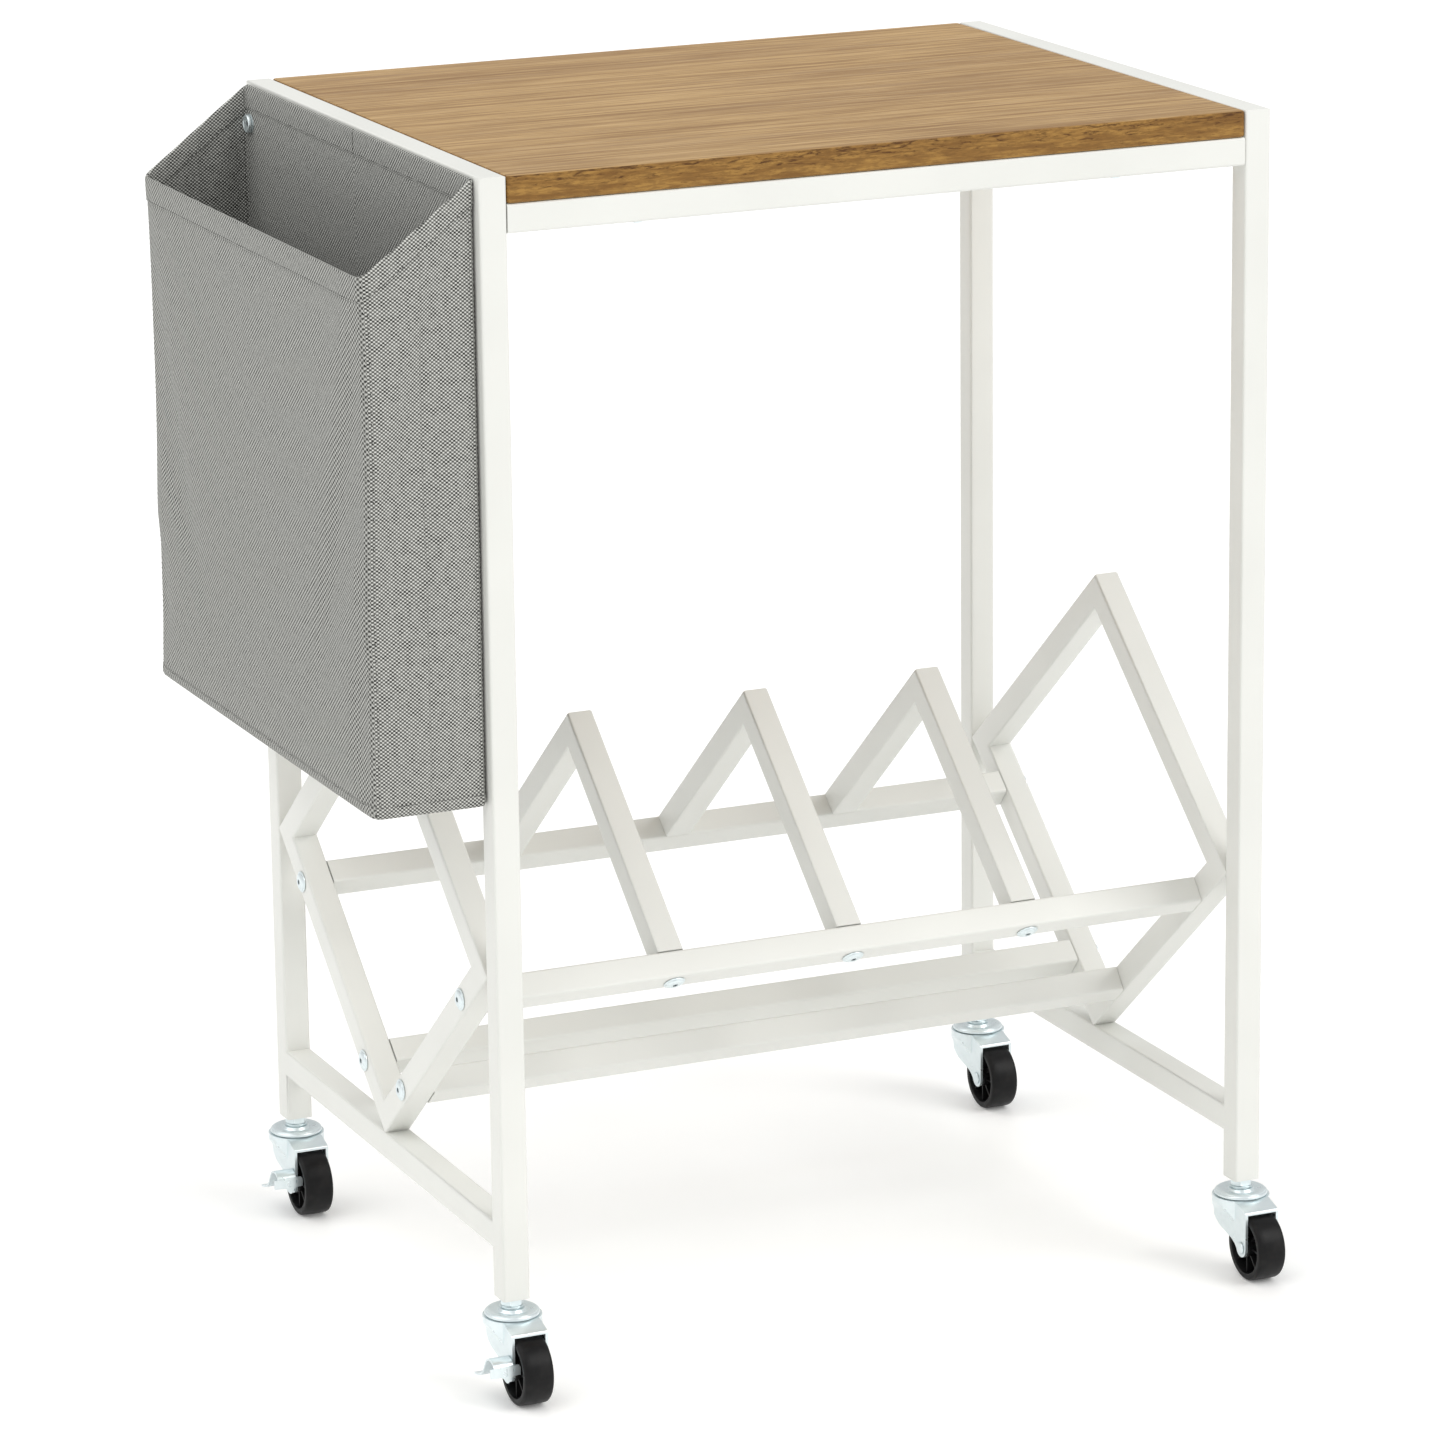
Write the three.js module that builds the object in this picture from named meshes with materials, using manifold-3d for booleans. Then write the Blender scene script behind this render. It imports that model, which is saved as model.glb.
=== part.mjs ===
// A rolling side table: a wooden board on a frame of square tube, a rack with slots
// for papers hung between the two side frames, a fabric pocket on the left side and
// four swivel casters, of which the two on the left have a brake.
// Millimetres, +Z up, front at -Y, left at -X.

import * as THREE from "three";
import { mergeVertices } from "three/addons/utils/BufferGeometryUtils.js";
import Module from "manifold-3d";

// Driving dimensions of the frame.
const WIDTH = 595; // over the two side frames
const DEPTH = 456; // over the legs
const FRAME_HEIGHT = 789; // underside of a leg to the table surface
const CASTER_HEIGHT = 70; // floor to the underside of a leg
const TUBE = 20; // side of every square tube
const WALL = 1.5; // tube wall
const TUBE_ROUND = 2; // radius of a tube's long edges
const ROUND_STEPS = 2; // facets on a rounded edge
const GAP = 0.3; // left between two pieces that touch
const WELD = 1; // how far one welded tube runs into the next
const OVERRUN = 10; // how far a cutting body runs past what it cuts
const PLUG = 10; // solid length at a tube's end that takes a bolt

// The cross tube between the feet, and the four-sided ring that carries the rack.
const CROSS_TOP = 54.5; // above the underside of a leg
const RING_HALF_HEIGHT = 176.5;
const RING_HALF_WIDTH = DEPTH / 2 - TUBE + WELD;
const RING_LOW = CROSS_TOP - WELD;
const RING_MIDDLE = RING_LOW + RING_HALF_HEIGHT;
const SLOPE = Math.atan2(RING_HALF_HEIGHT, RING_HALF_WIDTH);

// The rack: rails along X in the ring's lower sides, dividers standing on the upper two.
const UPPER_RAIL_Y = 159.3;
const LOWER_RAIL_Y = 37.5;
const DIVIDER_COUNT = 3;
const INNER_WIDTH = WIDTH - 2 * TUBE;
const DIVIDER_PITCH = INNER_WIDTH / (DIVIDER_COUNT + 1);

// The board and the two rails under it.
const BOARD_THICKNESS = 19;
const BOARD_ROUND = 1.5;
const BOARD_CORNER = 2.5;
const TOP_RAIL_MIDDLE = FRAME_HEIGHT - BOARD_THICKNESS - TUBE / 2;
const TOP_BOLT_Y = 212.5;
const BOARD_SCREW_X = 180;

// The fabric pocket, outside the left side frame.
const POCKET_THICKNESS = 84;
const POCKET_HALF_LENGTH = 222;
const POCKET_BOTTOM = 355.5;
const POCKET_FRONT_DROP = 60; // how much lower the outer panel ends than the inner one
const POCKET_FABRIC = 1.8;
const POCKET_CORNER = 3;
const BASE_BOARD_THICKNESS = 3;

// Bolts and screws.
const BOLT_RADIUS = 3;
const BOLT_HOLE = BOLT_RADIUS + GAP;
const BOLT_GRIP = 9; // how far a bolt runs into the piece that it holds
const HEAD_RADIUS = 7.8;
const POCKET_HEAD_RADIUS = 6.8; // the bolts that clamp the pocket have smaller heads
const HEAD_HEIGHT = 2.6;
const SOCKET_RADIUS = 2.6;
const SOCKET_DEPTH = 1.6;
const WASHER_RADIUS = 7;
const WASHER_THICKNESS = 1.2;
const SCREW_RADIUS = 2;
const SCREW_LENGTH = TUBE + 12;
const SCREW_HEAD_RADIUS = 4;
const SCREW_HEAD_HEIGHT = 2;
const BOLT_STEPS = 10;

// A caster, measured from its swivel axis and from the underside of the leg.
const WHEEL_RADIUS = 25;
const WHEEL_HALF_WIDTH = 11;
const WHEEL_STEPS = 20;
const TRAIL = 25.5; // swivel axis to axle
const AXLE_Z = WHEEL_RADIUS - CASTER_HEIGHT;
const AXLE_RADIUS = 3;
const FORK_HALF_WIDTH = 13.5;
const FORK_SHEET = 2;
const FORK_TOP = -12.5;
const FORK_TIP_RADIUS = 7;
const CUP_RADIUS = 21;
const PIN_RADIUS = 4;
const STEM_LENGTH = 22;
const ROUND_PART_STEPS = 16;
const RIVET_RADIUS = 4.6;
const RIVET_HEIGHT = 1.4;
const LEVER_SHEET = 1.4;
const LEVER_STEPS = 14;
const LEVER_INNER = FORK_HALF_WIDTH + 0.5;
const LEVER_OUTER = 28.5;

const X_AXIS = new THREE.Vector3(1, 0, 0);
const Y_AXIS = new THREE.Vector3(0, 1, 0);
const Z_AXIS = new THREE.Vector3(0, 0, 1);
const LEG_X = (WIDTH - TUBE) / 2;
const LEG_Y = (DEPTH - TUBE) / 2;
const SIDES = [-1, 1];
const tubeEdge = { round: TUBE_ROUND };

const wasm = await Module();
wasm.setup();

// ---- solids and outlines -------------------------------------------------------

function solid(geometry) {
  const bare = geometry.index ? geometry.toNonIndexed() : geometry.clone();
  bare.deleteAttribute("normal");
  bare.deleteAttribute("uv");
  const welded = mergeVertices(bare, 1e-4);
  const triangles = [];
  for (let i = 0; i < welded.index.count; i += 3) {
    const [a, b, c] = welded.index.array.subarray(i, i + 3);
    if (a !== b && b !== c && c !== a) triangles.push(a, b, c);
  }
  return new wasm.Manifold(new wasm.Mesh({
    numProp: 3,
    vertProperties: new Float32Array(welded.attributes.position.array),
    triVerts: new Uint32Array(triangles),
  }));
}

function toGeometry(body) {
  const { vertProperties, triVerts } = body.getMesh();
  const geometry = new THREE.BufferGeometry();
  geometry.setAttribute("position", new THREE.BufferAttribute(vertProperties.slice(), 3));
  geometry.setIndex(new THREE.BufferAttribute(triVerts.slice(), 1));
  geometry.computeVertexNormals();
  return geometry;
}

function cut(body, tools) {
  return tools.reduce((left, tool) => left.subtract(tool), body);
}

function join(bodies) {
  return bodies.reduce((all, body) => all.add(body));
}

// An arc in the outline gets twice curveSteps sides, any other curve curveSteps.
function extrude(shape, length, { round = 0, curveSteps = 1 } = {}) {
  const geometry = new THREE.ExtrudeGeometry(shape, {
    depth: length - 2 * round,
    bevelEnabled: round > 0,
    bevelThickness: round,
    bevelSize: round,
    bevelOffset: -round,
    bevelSegments: ROUND_STEPS,
    curveSegments: curveSteps,
  });
  return geometry.translate(0, 0, round);
}

// An outline in (y, z), given a length along X.
function alongX(shape, from, to, style) {
  const place = new THREE.Matrix4().makeBasis(Y_AXIS, Z_AXIS, X_AXIS).setPosition(from, 0, 0);
  return solid(extrude(shape, to - from, style).applyMatrix4(place));
}

// An outline in (x, z), given a length along Y.
function alongY(shape, from, to) {
  const back = Y_AXIS.clone().negate();
  const place = new THREE.Matrix4().makeBasis(X_AXIS, Z_AXIS, back).setPosition(0, to, 0);
  return solid(extrude(shape, to - from).applyMatrix4(place));
}

// An outline in (x, y), given a length along Z.
function alongZ(shape, from, to, style) {
  return solid(extrude(shape, to - from, style).translate(0, 0, from));
}

function outline(points) {
  return new THREE.Shape(points.map(([a, b]) => new THREE.Vector2(a, b)));
}

function rectangle(a0, b0, a1, b1) {
  return outline([[a0, b0], [a1, b0], [a1, b1], [a0, b1]]);
}

function roundedRectangle(a0, b0, a1, b1, radius) {
  const shape = new THREE.Shape();
  const quarter = Math.PI / 2;
  shape.absarc(a1 - radius, b1 - radius, radius, 0, quarter);
  shape.absarc(a0 + radius, b1 - radius, radius, quarter, 2 * quarter);
  shape.absarc(a0 + radius, b0 + radius, radius, 2 * quarter, 3 * quarter);
  shape.absarc(a1 - radius, b0 + radius, radius, 3 * quarter, 4 * quarter);
  return shape;
}

// A profile of [radius, height] points turned about Z.
function turned(profile, steps) {
  const points = profile.map(([radius, height]) => new THREE.Vector2(radius, height));
  return solid(new THREE.LatheGeometry(points, steps).rotateX(Math.PI / 2));
}

// The same about X, with a flat and not a corner underneath.
function turnedAboutX(profile, steps) {
  const points = profile.map(([radius, along]) => new THREE.Vector2(radius, along));
  const lathe = new THREE.LatheGeometry(points, steps, Math.PI / steps);
  return solid(lathe.rotateX(Math.PI / 2).rotateY(Math.PI / 2));
}

function rod(radius, from, to, direction = Z_AXIS, at = [0, 0, 0], steps = BOLT_STEPS) {
  const geometry = new THREE.CylinderGeometry(radius, radius, to - from, steps);
  geometry.translate(0, (from + to) / 2, 0);
  geometry.applyQuaternion(new THREE.Quaternion().setFromUnitVectors(Y_AXIS, direction));
  return solid(geometry.translate(...at));
}

// ---- materials ---------------------------------------------------------------

function paint(color, roughness, metalness) {
  return new THREE.MeshStandardMaterial({ color, roughness, metalness });
}

const white = paint(0xf1f1ec, 0.45, 0.1);
const wood = paint(0xbf9460, 0.5, 0);
const fabric = paint(0x9c9d98, 0.95, 0);
const zinc = paint(0xc3ced1, 0.3, 0.9);
const black = paint(0x242424, 0.35, 0);
const plastic = paint(0x8f9192, 0.6, 0);

const table = new THREE.Group();

function add(parent, name, geometry, material, position = [0, 0, 0]) {
  const mesh = new THREE.Mesh(geometry, material);
  mesh.name = name;
  mesh.position.set(...position);
  parent.add(mesh);
  return mesh;
}

// ---- the side frames -----------------------------------------------------------

// Two legs and the top tube as one mitred arch, drawn inset by a distance.
function archOutline(inset) {
  const outer = DEPTH / 2 - inset;
  const inner = DEPTH / 2 - TUBE + inset;
  const top = FRAME_HEIGHT - inset;
  const under = FRAME_HEIGHT - TUBE + inset;
  return outline([
    [-outer, -OVERRUN], [-inner, -OVERRUN], [-inner, under], [inner, under],
    [inner, -OVERRUN], [outer, -OVERRUN], [outer, top], [-outer, top],
  ]);
}

function ringCorners(inset) {
  const across = RING_HALF_WIDTH - inset / Math.sin(SLOPE);
  const up = RING_HALF_HEIGHT - inset / Math.cos(SLOPE);
  return [[0, RING_MIDDLE - up], [across, RING_MIDDLE], [0, RING_MIDDLE + up], [-across, RING_MIDDLE]];
}

function ringOutline(inset) {
  const shape = outline(ringCorners(inset));
  shape.holes.push(outline(ringCorners(TUBE - inset)));
  return shape;
}

// Centre of a rack rail, from its distance in front of or behind the middle.
function railCentre(y) {
  const centreLineLow = RING_LOW + TUBE / 2 / Math.cos(SLOPE);
  return [y, centreLineLow + Math.abs(y) * Math.tan(SLOPE)];
}

const railPlaces = [UPPER_RAIL_Y, LOWER_RAIL_Y, -LOWER_RAIL_Y, -UPPER_RAIL_Y].map(railCentre);
const topRailPlaces = SIDES.map((side) => [side * TOP_BOLT_Y, TOP_RAIL_MIDDLE]);

function sideFrame() {
  const legInner = DEPTH / 2 - TUBE;
  const crossEnd = legInner + TUBE / 2;
  const cross = rectangle(-crossEnd, CROSS_TOP - TUBE, crossEnd, CROSS_TOP);
  const crossHollow = rectangle(-crossEnd, CROSS_TOP - TUBE + WALL, crossEnd, CROSS_TOP - WALL);
  const shell = join([
    alongX(archOutline(0), 0, TUBE, tubeEdge),
    alongX(cross, 0, TUBE, tubeEdge),
    alongX(ringOutline(0), 0, TUBE, tubeEdge),
  ]);
  const hollow = [archOutline(WALL), crossHollow, ringOutline(WALL)];
  const holes = [...railPlaces, ...topRailPlaces].map(([y, z]) => (
    rod(BOLT_HOLE, -OVERRUN, TUBE + OVERRUN, X_AXIS, [0, y, z])
  ));
  return cut(shell, [
    ...hollow.map((shape) => alongX(shape, WALL, TUBE - WALL)),
    ...holes,
    alongX(rectangle(-DEPTH, -2 * OVERRUN, DEPTH, 0), -OVERRUN, TUBE + OVERRUN),
  ]);
}

// ---- rails, board and dividers ---------------------------------------------------

function railSection(inset) {
  const half = TUBE / 2 - inset;
  return inset === 0
    ? roundedRectangle(-half, -half, half, half, TUBE_ROUND)
    : rectangle(-half, -half, half, half);
}

// A tube along X with solid ends, each with a bolt hole at [y, z] from its middle.
function rail(endHole) {
  const half = INNER_WIDTH / 2 - GAP;
  const holes = SIDES.map((side) => (
    rod(BOLT_HOLE, half - PLUG - WALL, half + OVERRUN, X_AXIS.clone().multiplyScalar(side), [0, ...endHole])
  ));
  return cut(alongX(railSection(0), -half, half), [
    alongX(railSection(WALL), PLUG - half, half - PLUG),
    ...holes,
  ]);
}

function topRail(side) {
  const screwHoles = SIDES.map((end) => (
    rod(SCREW_RADIUS + GAP, -TUBE, TUBE, Z_AXIS, [end * BOARD_SCREW_X, 0, 0])
  ));
  return toGeometry(cut(rail([side * (TOP_BOLT_Y - LEG_Y), 0]), screwHoles));
}

function rackRail(hasDividers) {
  const dividerHoles = dividerPlaces.map((x) => rod(BOLT_HOLE, -TUBE, TUBE, Z_AXIS, [x, 0, 0]));
  return toGeometry(cut(rail([0, 0]), hasDividers ? dividerHoles : []));
}

const dividerPlaces = Array.from({ length: DIVIDER_COUNT }, (_, i) => (
  (i - (DIVIDER_COUNT - 1) / 2) * DIVIDER_PITCH
));

function board() {
  const half = INNER_WIDTH / 2 - GAP;
  const shape = roundedRectangle(-half, -DEPTH / 2, half, DEPTH / 2, BOARD_CORNER);
  const pilots = SIDES.flatMap((side) => SIDES.map((end) => (
    rod(SCREW_RADIUS + GAP, -OVERRUN, SCREW_LENGTH - TUBE + GAP, Z_AXIS, [end * BOARD_SCREW_X, side * LEG_Y, 0])
  )));
  return toGeometry(cut(alongZ(shape, GAP, BOARD_THICKNESS, { round: BOARD_ROUND }), pilots));
}

// Middle of the face of an upper rack rail that a divider's foot stands on.
function footPlace(side) {
  const [y, z] = railCentre(UPPER_RAIL_Y);
  return [side * (y - Math.sin(SLOPE) * TUBE / 2), z + Math.cos(SLOPE) * TUBE / 2];
}

// A divider's outline, drawn inset by a distance and run on below its feet.
function dividerOutline(inset) {
  const [footY, footZ] = footPlace(1);
  const apex = footZ + footY * Math.tan(SLOPE);
  const half = (TUBE / 2 - inset) / Math.cos(SLOPE);
  const reach = footY + 2 * OVERRUN;
  const low = apex - reach * Math.tan(SLOPE);
  return outline([
    [-reach, low + half], [-reach, low - half], [0, apex - half],
    [reach, low - half], [reach, low + half], [0, apex + half],
  ]);
}

// Everything on the rail's side of the face that a foot stands on.
function footCutter(side, lift) {
  const [y, z] = footPlace(side);
  const slab = rectangle(-2 * TUBE, -3 * TUBE, 2 * TUBE, lift);
  const geometry = extrude(slab, 2 * TUBE);
  geometry.applyMatrix4(new THREE.Matrix4().makeBasis(Y_AXIS, Z_AXIS, X_AXIS));
  geometry.rotateX(side * SLOPE);
  return solid(geometry.translate(-TUBE, y, z));
}

function divider() {
  const body = cut(
    alongX(dividerOutline(0), -TUBE / 2, TUBE / 2, tubeEdge),
    SIDES.map((side) => footCutter(side, GAP)),
  );
  const hollow = cut(
    alongX(dividerOutline(WALL), WALL - TUBE / 2, TUBE / 2 - WALL),
    SIDES.map((side) => footCutter(side, PLUG)),
  );
  const holes = SIDES.map((side) => (
    rod(BOLT_HOLE, -OVERRUN, PLUG + WALL, faceNormal(side), [0, ...footPlace(side)])
  ));
  return toGeometry(cut(body, [hollow, ...holes]));
}

// Direction out of an upper rack rail's face, towards the middle of the rack.
function faceNormal(side) {
  return new THREE.Vector3(0, -side * Math.sin(SLOPE), Math.cos(SLOPE));
}

// ---- the pocket ----------------------------------------------------------------

function pocketOutline(inset) {
  const inner = -WIDTH / 2 - GAP;
  const long = POCKET_HALF_LENGTH - inset;
  const radius = POCKET_CORNER - inset;
  return roundedRectangle(inner - POCKET_THICKNESS + inset, -long, inner - inset, long, radius);
}

function pocket() {
  const inner = -WIDTH / 2 - GAP;
  const outer = inner - POCKET_THICKNESS;
  const overRim = outline([
    [outer, FRAME_HEIGHT - POCKET_FRONT_DROP], [inner, FRAME_HEIGHT],
    [inner + OVERRUN, FRAME_HEIGHT + OVERRUN], [outer - OVERRUN, FRAME_HEIGHT + OVERRUN],
    [outer - OVERRUN, FRAME_HEIGHT - POCKET_FRONT_DROP],
  ]);
  const corner = { curveSteps: 2 };
  const floor = POCKET_BOTTOM + POCKET_FABRIC;
  const shell = alongZ(pocketOutline(0), POCKET_BOTTOM, FRAME_HEIGHT, corner);
  const room = alongZ(pocketOutline(POCKET_FABRIC), floor, FRAME_HEIGHT + OVERRUN, corner);
  const holes = topRailPlaces.map(([y, z]) => (
    rod(BOLT_HOLE, -OVERRUN, OVERRUN, X_AXIS, [inner, y, z])
  ));
  return toGeometry(cut(shell, [room, alongY(overRim, -DEPTH, DEPTH), ...holes]));
}

function baseBoard() {
  const low = POCKET_BOTTOM + POCKET_FABRIC + GAP;
  const shape = pocketOutline(POCKET_FABRIC + GAP);
  return toGeometry(alongZ(shape, low, low + BASE_BOARD_THICKNESS, { curveSteps: 2 }));
}

// ---- fasteners, each with its head's underside at the origin and its head at +Z ----

function bolt(length, headRadius = HEAD_RADIUS) {
  const body = turned([
    [0, -length], [BOLT_RADIUS, -length], [BOLT_RADIUS, 0], [headRadius, 0],
    [headRadius, HEAD_HEIGHT / 2], [headRadius * 0.75, HEAD_HEIGHT], [0, HEAD_HEIGHT],
  ], BOLT_STEPS);
  const socket = rod(SOCKET_RADIUS, HEAD_HEIGHT - SOCKET_DEPTH, HEAD_HEIGHT + OVERRUN, Z_AXIS, [0, 0, 0], 6);
  return toGeometry(body.subtract(socket));
}

function boardScrew() {
  return toGeometry(turned([
    [0, -SCREW_LENGTH], [SCREW_RADIUS, 2 * SCREW_RADIUS - SCREW_LENGTH], [SCREW_RADIUS, 0],
    [SCREW_HEAD_RADIUS, 0], [SCREW_HEAD_RADIUS * 0.8, SCREW_HEAD_HEIGHT], [0, SCREW_HEAD_HEIGHT],
  ], BOLT_STEPS));
}

function washer() {
  return toGeometry(turned([
    [BOLT_HOLE, 0], [WASHER_RADIUS, 0], [WASHER_RADIUS, WASHER_THICKNESS],
    [BOLT_HOLE, WASHER_THICKNESS], [BOLT_HOLE, 0],
  ], BOLT_STEPS));
}

function addFastener(parent, name, geometry, at, outward) {
  const mesh = add(parent, name, geometry, zinc, at);
  mesh.quaternion.setFromUnitVectors(Z_AXIS, outward);
}

// ---- casters, each with its origin on the swivel axis at the underside of the leg ----

function legInsert() {
  const half = TUBE / 2 - WALL - GAP;
  const plug = alongZ(rectangle(-half, -half, half, half), GAP, STEM_LENGTH);
  return toGeometry(plug.subtract(rod(PIN_RADIUS + GAP, -OVERRUN, STEM_LENGTH + OVERRUN)));
}

// Stem, nut, dished cap over the bearing, and the pin riveted over inside the fork.
function casterStem() {
  const capUnder = FORK_TOP + GAP;
  const rivetTop = FORK_TOP - FORK_SHEET - 2 * GAP;
  const rivetLow = rivetTop - RIVET_HEIGHT;
  const stemTop = STEM_LENGTH - GAP;
  return toGeometry(turned([
    [0, rivetLow], [6.5, rivetLow], [6.5, rivetTop], [PIN_RADIUS, rivetTop],
    [PIN_RADIUS, capUnder], [19.5, capUnder], [19.5, -10.2], [16.5, -8.6], [11.5, -9.6],
    [9.5, -9.2], [9.5, -7], [8, -7], [8, -GAP], [PIN_RADIUS, -GAP], [PIN_RADIUS, stemTop],
    [0, stemTop],
  ], ROUND_PART_STEPS));
}

function forkSide() {
  const shape = new THREE.Shape();
  shape.moveTo(CUP_RADIUS, FORK_TOP);
  shape.lineTo(6 - TRAIL, FORK_TOP);
  shape.lineTo(-TRAIL - FORK_TIP_RADIUS, FORK_TOP - 5);
  shape.absarc(-TRAIL, AXLE_Z, FORK_TIP_RADIUS, Math.PI, 2 * Math.PI);
  shape.quadraticCurveTo(8.5 - TRAIL, -37.5, -4, -36);
  shape.quadraticCurveTo(16, -28, CUP_RADIUS, -17);
  return shape;
}

function forkPlan() {
  const shape = new THREE.Shape();
  const start = Math.acos(FORK_HALF_WIDTH / CUP_RADIUS);
  shape.moveTo(-FORK_HALF_WIDTH, -TRAIL - 2 * FORK_TIP_RADIUS);
  shape.lineTo(FORK_HALF_WIDTH, -TRAIL - 2 * FORK_TIP_RADIUS);
  shape.absarc(0, 0, CUP_RADIUS, -start, Math.PI + start);
  return shape;
}

function forkFront() {
  return outline([
    [-FORK_HALF_WIDTH, -CASTER_HEIGHT], [FORK_HALF_WIDTH, -CASTER_HEIGHT], [FORK_HALF_WIDTH, -27],
    [CUP_RADIUS, -16.5], [CUP_RADIUS, 0], [-CUP_RADIUS, 0], [-CUP_RADIUS, -16.5],
    [-FORK_HALF_WIDTH, -27],
  ]);
}

function forkRoom() {
  const top = FORK_TOP - FORK_SHEET;
  return outline([
    [2 * CUP_RADIUS, top], [5 - TRAIL, top], [-TRAIL - 2 * FORK_TIP_RADIUS, top - 8],
    [-TRAIL - 2 * FORK_TIP_RADIUS, -CASTER_HEIGHT], [2 * CUP_RADIUS, -CASTER_HEIGHT],
  ]);
}

function fork() {
  const reach = 3 * CUP_RADIUS;
  const inside = FORK_HALF_WIDTH - FORK_SHEET;
  const body = alongX(forkSide(), -CUP_RADIUS, CUP_RADIUS, { curveSteps: 3 })
    .intersect(alongZ(forkPlan(), -CASTER_HEIGHT, 0, { curveSteps: 7 }))
    .intersect(alongY(forkFront(), -reach, reach));
  return toGeometry(cut(body, [
    alongX(forkRoom(), -inside, inside),
    rod(PIN_RADIUS + GAP, -reach, reach, Z_AXIS, [0, 0, 0], ROUND_PART_STEPS),
    rod(AXLE_RADIUS + GAP, -reach, reach, X_AXIS, [0, -TRAIL, AXLE_Z]),
  ]));
}

// The wheel about its own axle: a tread ring and a hub, joined by a thin web.
function wheel() {
  const tread = WHEEL_RADIUS / Math.cos(Math.PI / WHEEL_STEPS);
  const upper = [
    [AXLE_RADIUS + GAP, WHEEL_HALF_WIDTH], [7, WHEEL_HALF_WIDTH], [7, 3], [19.5, 3],
    [19.5, WHEEL_HALF_WIDTH], [23, WHEEL_HALF_WIDTH], [tread, WHEEL_HALF_WIDTH - 2.5],
  ];
  const lower = upper.map(([radius, along]) => [radius, -along]);
  return toGeometry(turnedAboutX([...lower, ...upper.toReversed(), lower[0]], WHEEL_STEPS));
}

// The axle, with a rivet head against the fork's right cheek and one at the left.
function axle(leftHead) {
  const left = -leftHead - RIVET_HEIGHT;
  const right = FORK_HALF_WIDTH + GAP;
  return toGeometry(turnedAboutX([
    [0, left], [RIVET_RADIUS, left], [RIVET_RADIUS, -leftHead], [AXLE_RADIUS, -leftHead],
    [AXLE_RADIUS, right], [RIVET_RADIUS, right], [RIVET_RADIUS, right + RIVET_HEIGHT],
    [0, right + RIVET_HEIGHT],
  ], BOLT_STEPS));
}

// A strip of sheet that follows a curve through the points, as an outline.
function sheetOutline(points, thickness, steps) {
  const curve = new THREE.SplineCurve(points.map(([a, b]) => new THREE.Vector2(a, b)));
  const edge = (side) => Array.from({ length: steps + 1 }, (_, i) => {
    const at = curve.getPointAt(i / steps);
    const along = curve.getTangentAt(i / steps);
    const offset = side * thickness / 2;
    return [at.x - along.y * offset, at.y + along.x * offset];
  });
  return outline([...edge(1), ...edge(-1).reverse()]);
}

// The brake lever about the axle: a strip that arches over the axle's end and runs
// back to a toe tab, a front plate with the tooth that enters the wheel, and an ear.
function brakeLever() {
  const strip = sheetOutline([
    [-9.8, -1], [-9.8, 5], [-8.4, 8.6], [-4.8, 10.6], [-0.5, 10.9], [3.8, 9.2],
    [7.6, 4.6], [11, -1], [15.5, -5.2], [21, -7.4], [27.5, -9],
  ], LEVER_SHEET, LEVER_STEPS);
  const plate = outline([
    [-LEVER_OUTER, 5.4], [-LEVER_OUTER, -1.5], [-20.5, -2], [-17, -6.6], [-15, -6.6],
    [-12, -2.4], [-8, -1.6], [-8, 4.4], [-12.5, 5.4],
  ]);
  const ear = outline([[-6.2, 0], [-4.4, -4.4], [0, -6.2], [4.4, -4.4], [6.2, 0], [3.4, 9.2], [-6.4, 9.4]]);
  const face = -9.8 - LEVER_SHEET / 2;
  const body = join([
    alongX(strip, -LEVER_OUTER, -LEVER_INNER),
    alongY(plate, face, face + LEVER_SHEET),
    alongX(ear, -LEVER_INNER - LEVER_SHEET, -LEVER_INNER),
  ]);
  const hole = rod(AXLE_RADIUS + GAP, -LEVER_OUTER, LEVER_OUTER, X_AXIS);
  return toGeometry(body.subtract(hole));
}

// ---- assembly --------------------------------------------------------------------

function addFrame(frame) {
  const sideGeometry = toGeometry(sideFrame());
  add(frame, "left_side_frame", sideGeometry, white, [-WIDTH / 2, 0, 0]);
  add(frame, "right_side_frame", sideGeometry, white, [WIDTH / 2 - TUBE, 0, 0]);
  add(frame, "front_top_rail", topRail(-1), white, [0, -LEG_Y, TOP_RAIL_MIDDLE]);
  add(frame, "rear_top_rail", topRail(1), white, [0, LEG_Y, TOP_RAIL_MIDDLE]);
  add(frame, "table_top", board(), wood, [0, 0, FRAME_HEIGHT - BOARD_THICKNESS]);
}

function addRack(frame) {
  const names = ["rear_upper", "rear_lower", "front_lower", "front_upper"];
  const withHoles = rackRail(true);
  const plain = rackRail(false);
  railPlaces.forEach(([y, z], i) => {
    const isUpper = names[i].endsWith("upper");
    const mesh = add(frame, `${names[i]}_rack_rail`, isUpper ? withHoles : plain, white, [0, y, z]);
    mesh.rotation.x = Math.sign(y) * SLOPE;
  });
  const dividerGeometry = divider();
  const dividerNames = ["left", "middle", "right"];
  dividerPlaces.forEach((x, i) => {
    add(frame, `${dividerNames[i]}_divider`, dividerGeometry, white, [x, 0, 0]);
  });
}

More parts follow.
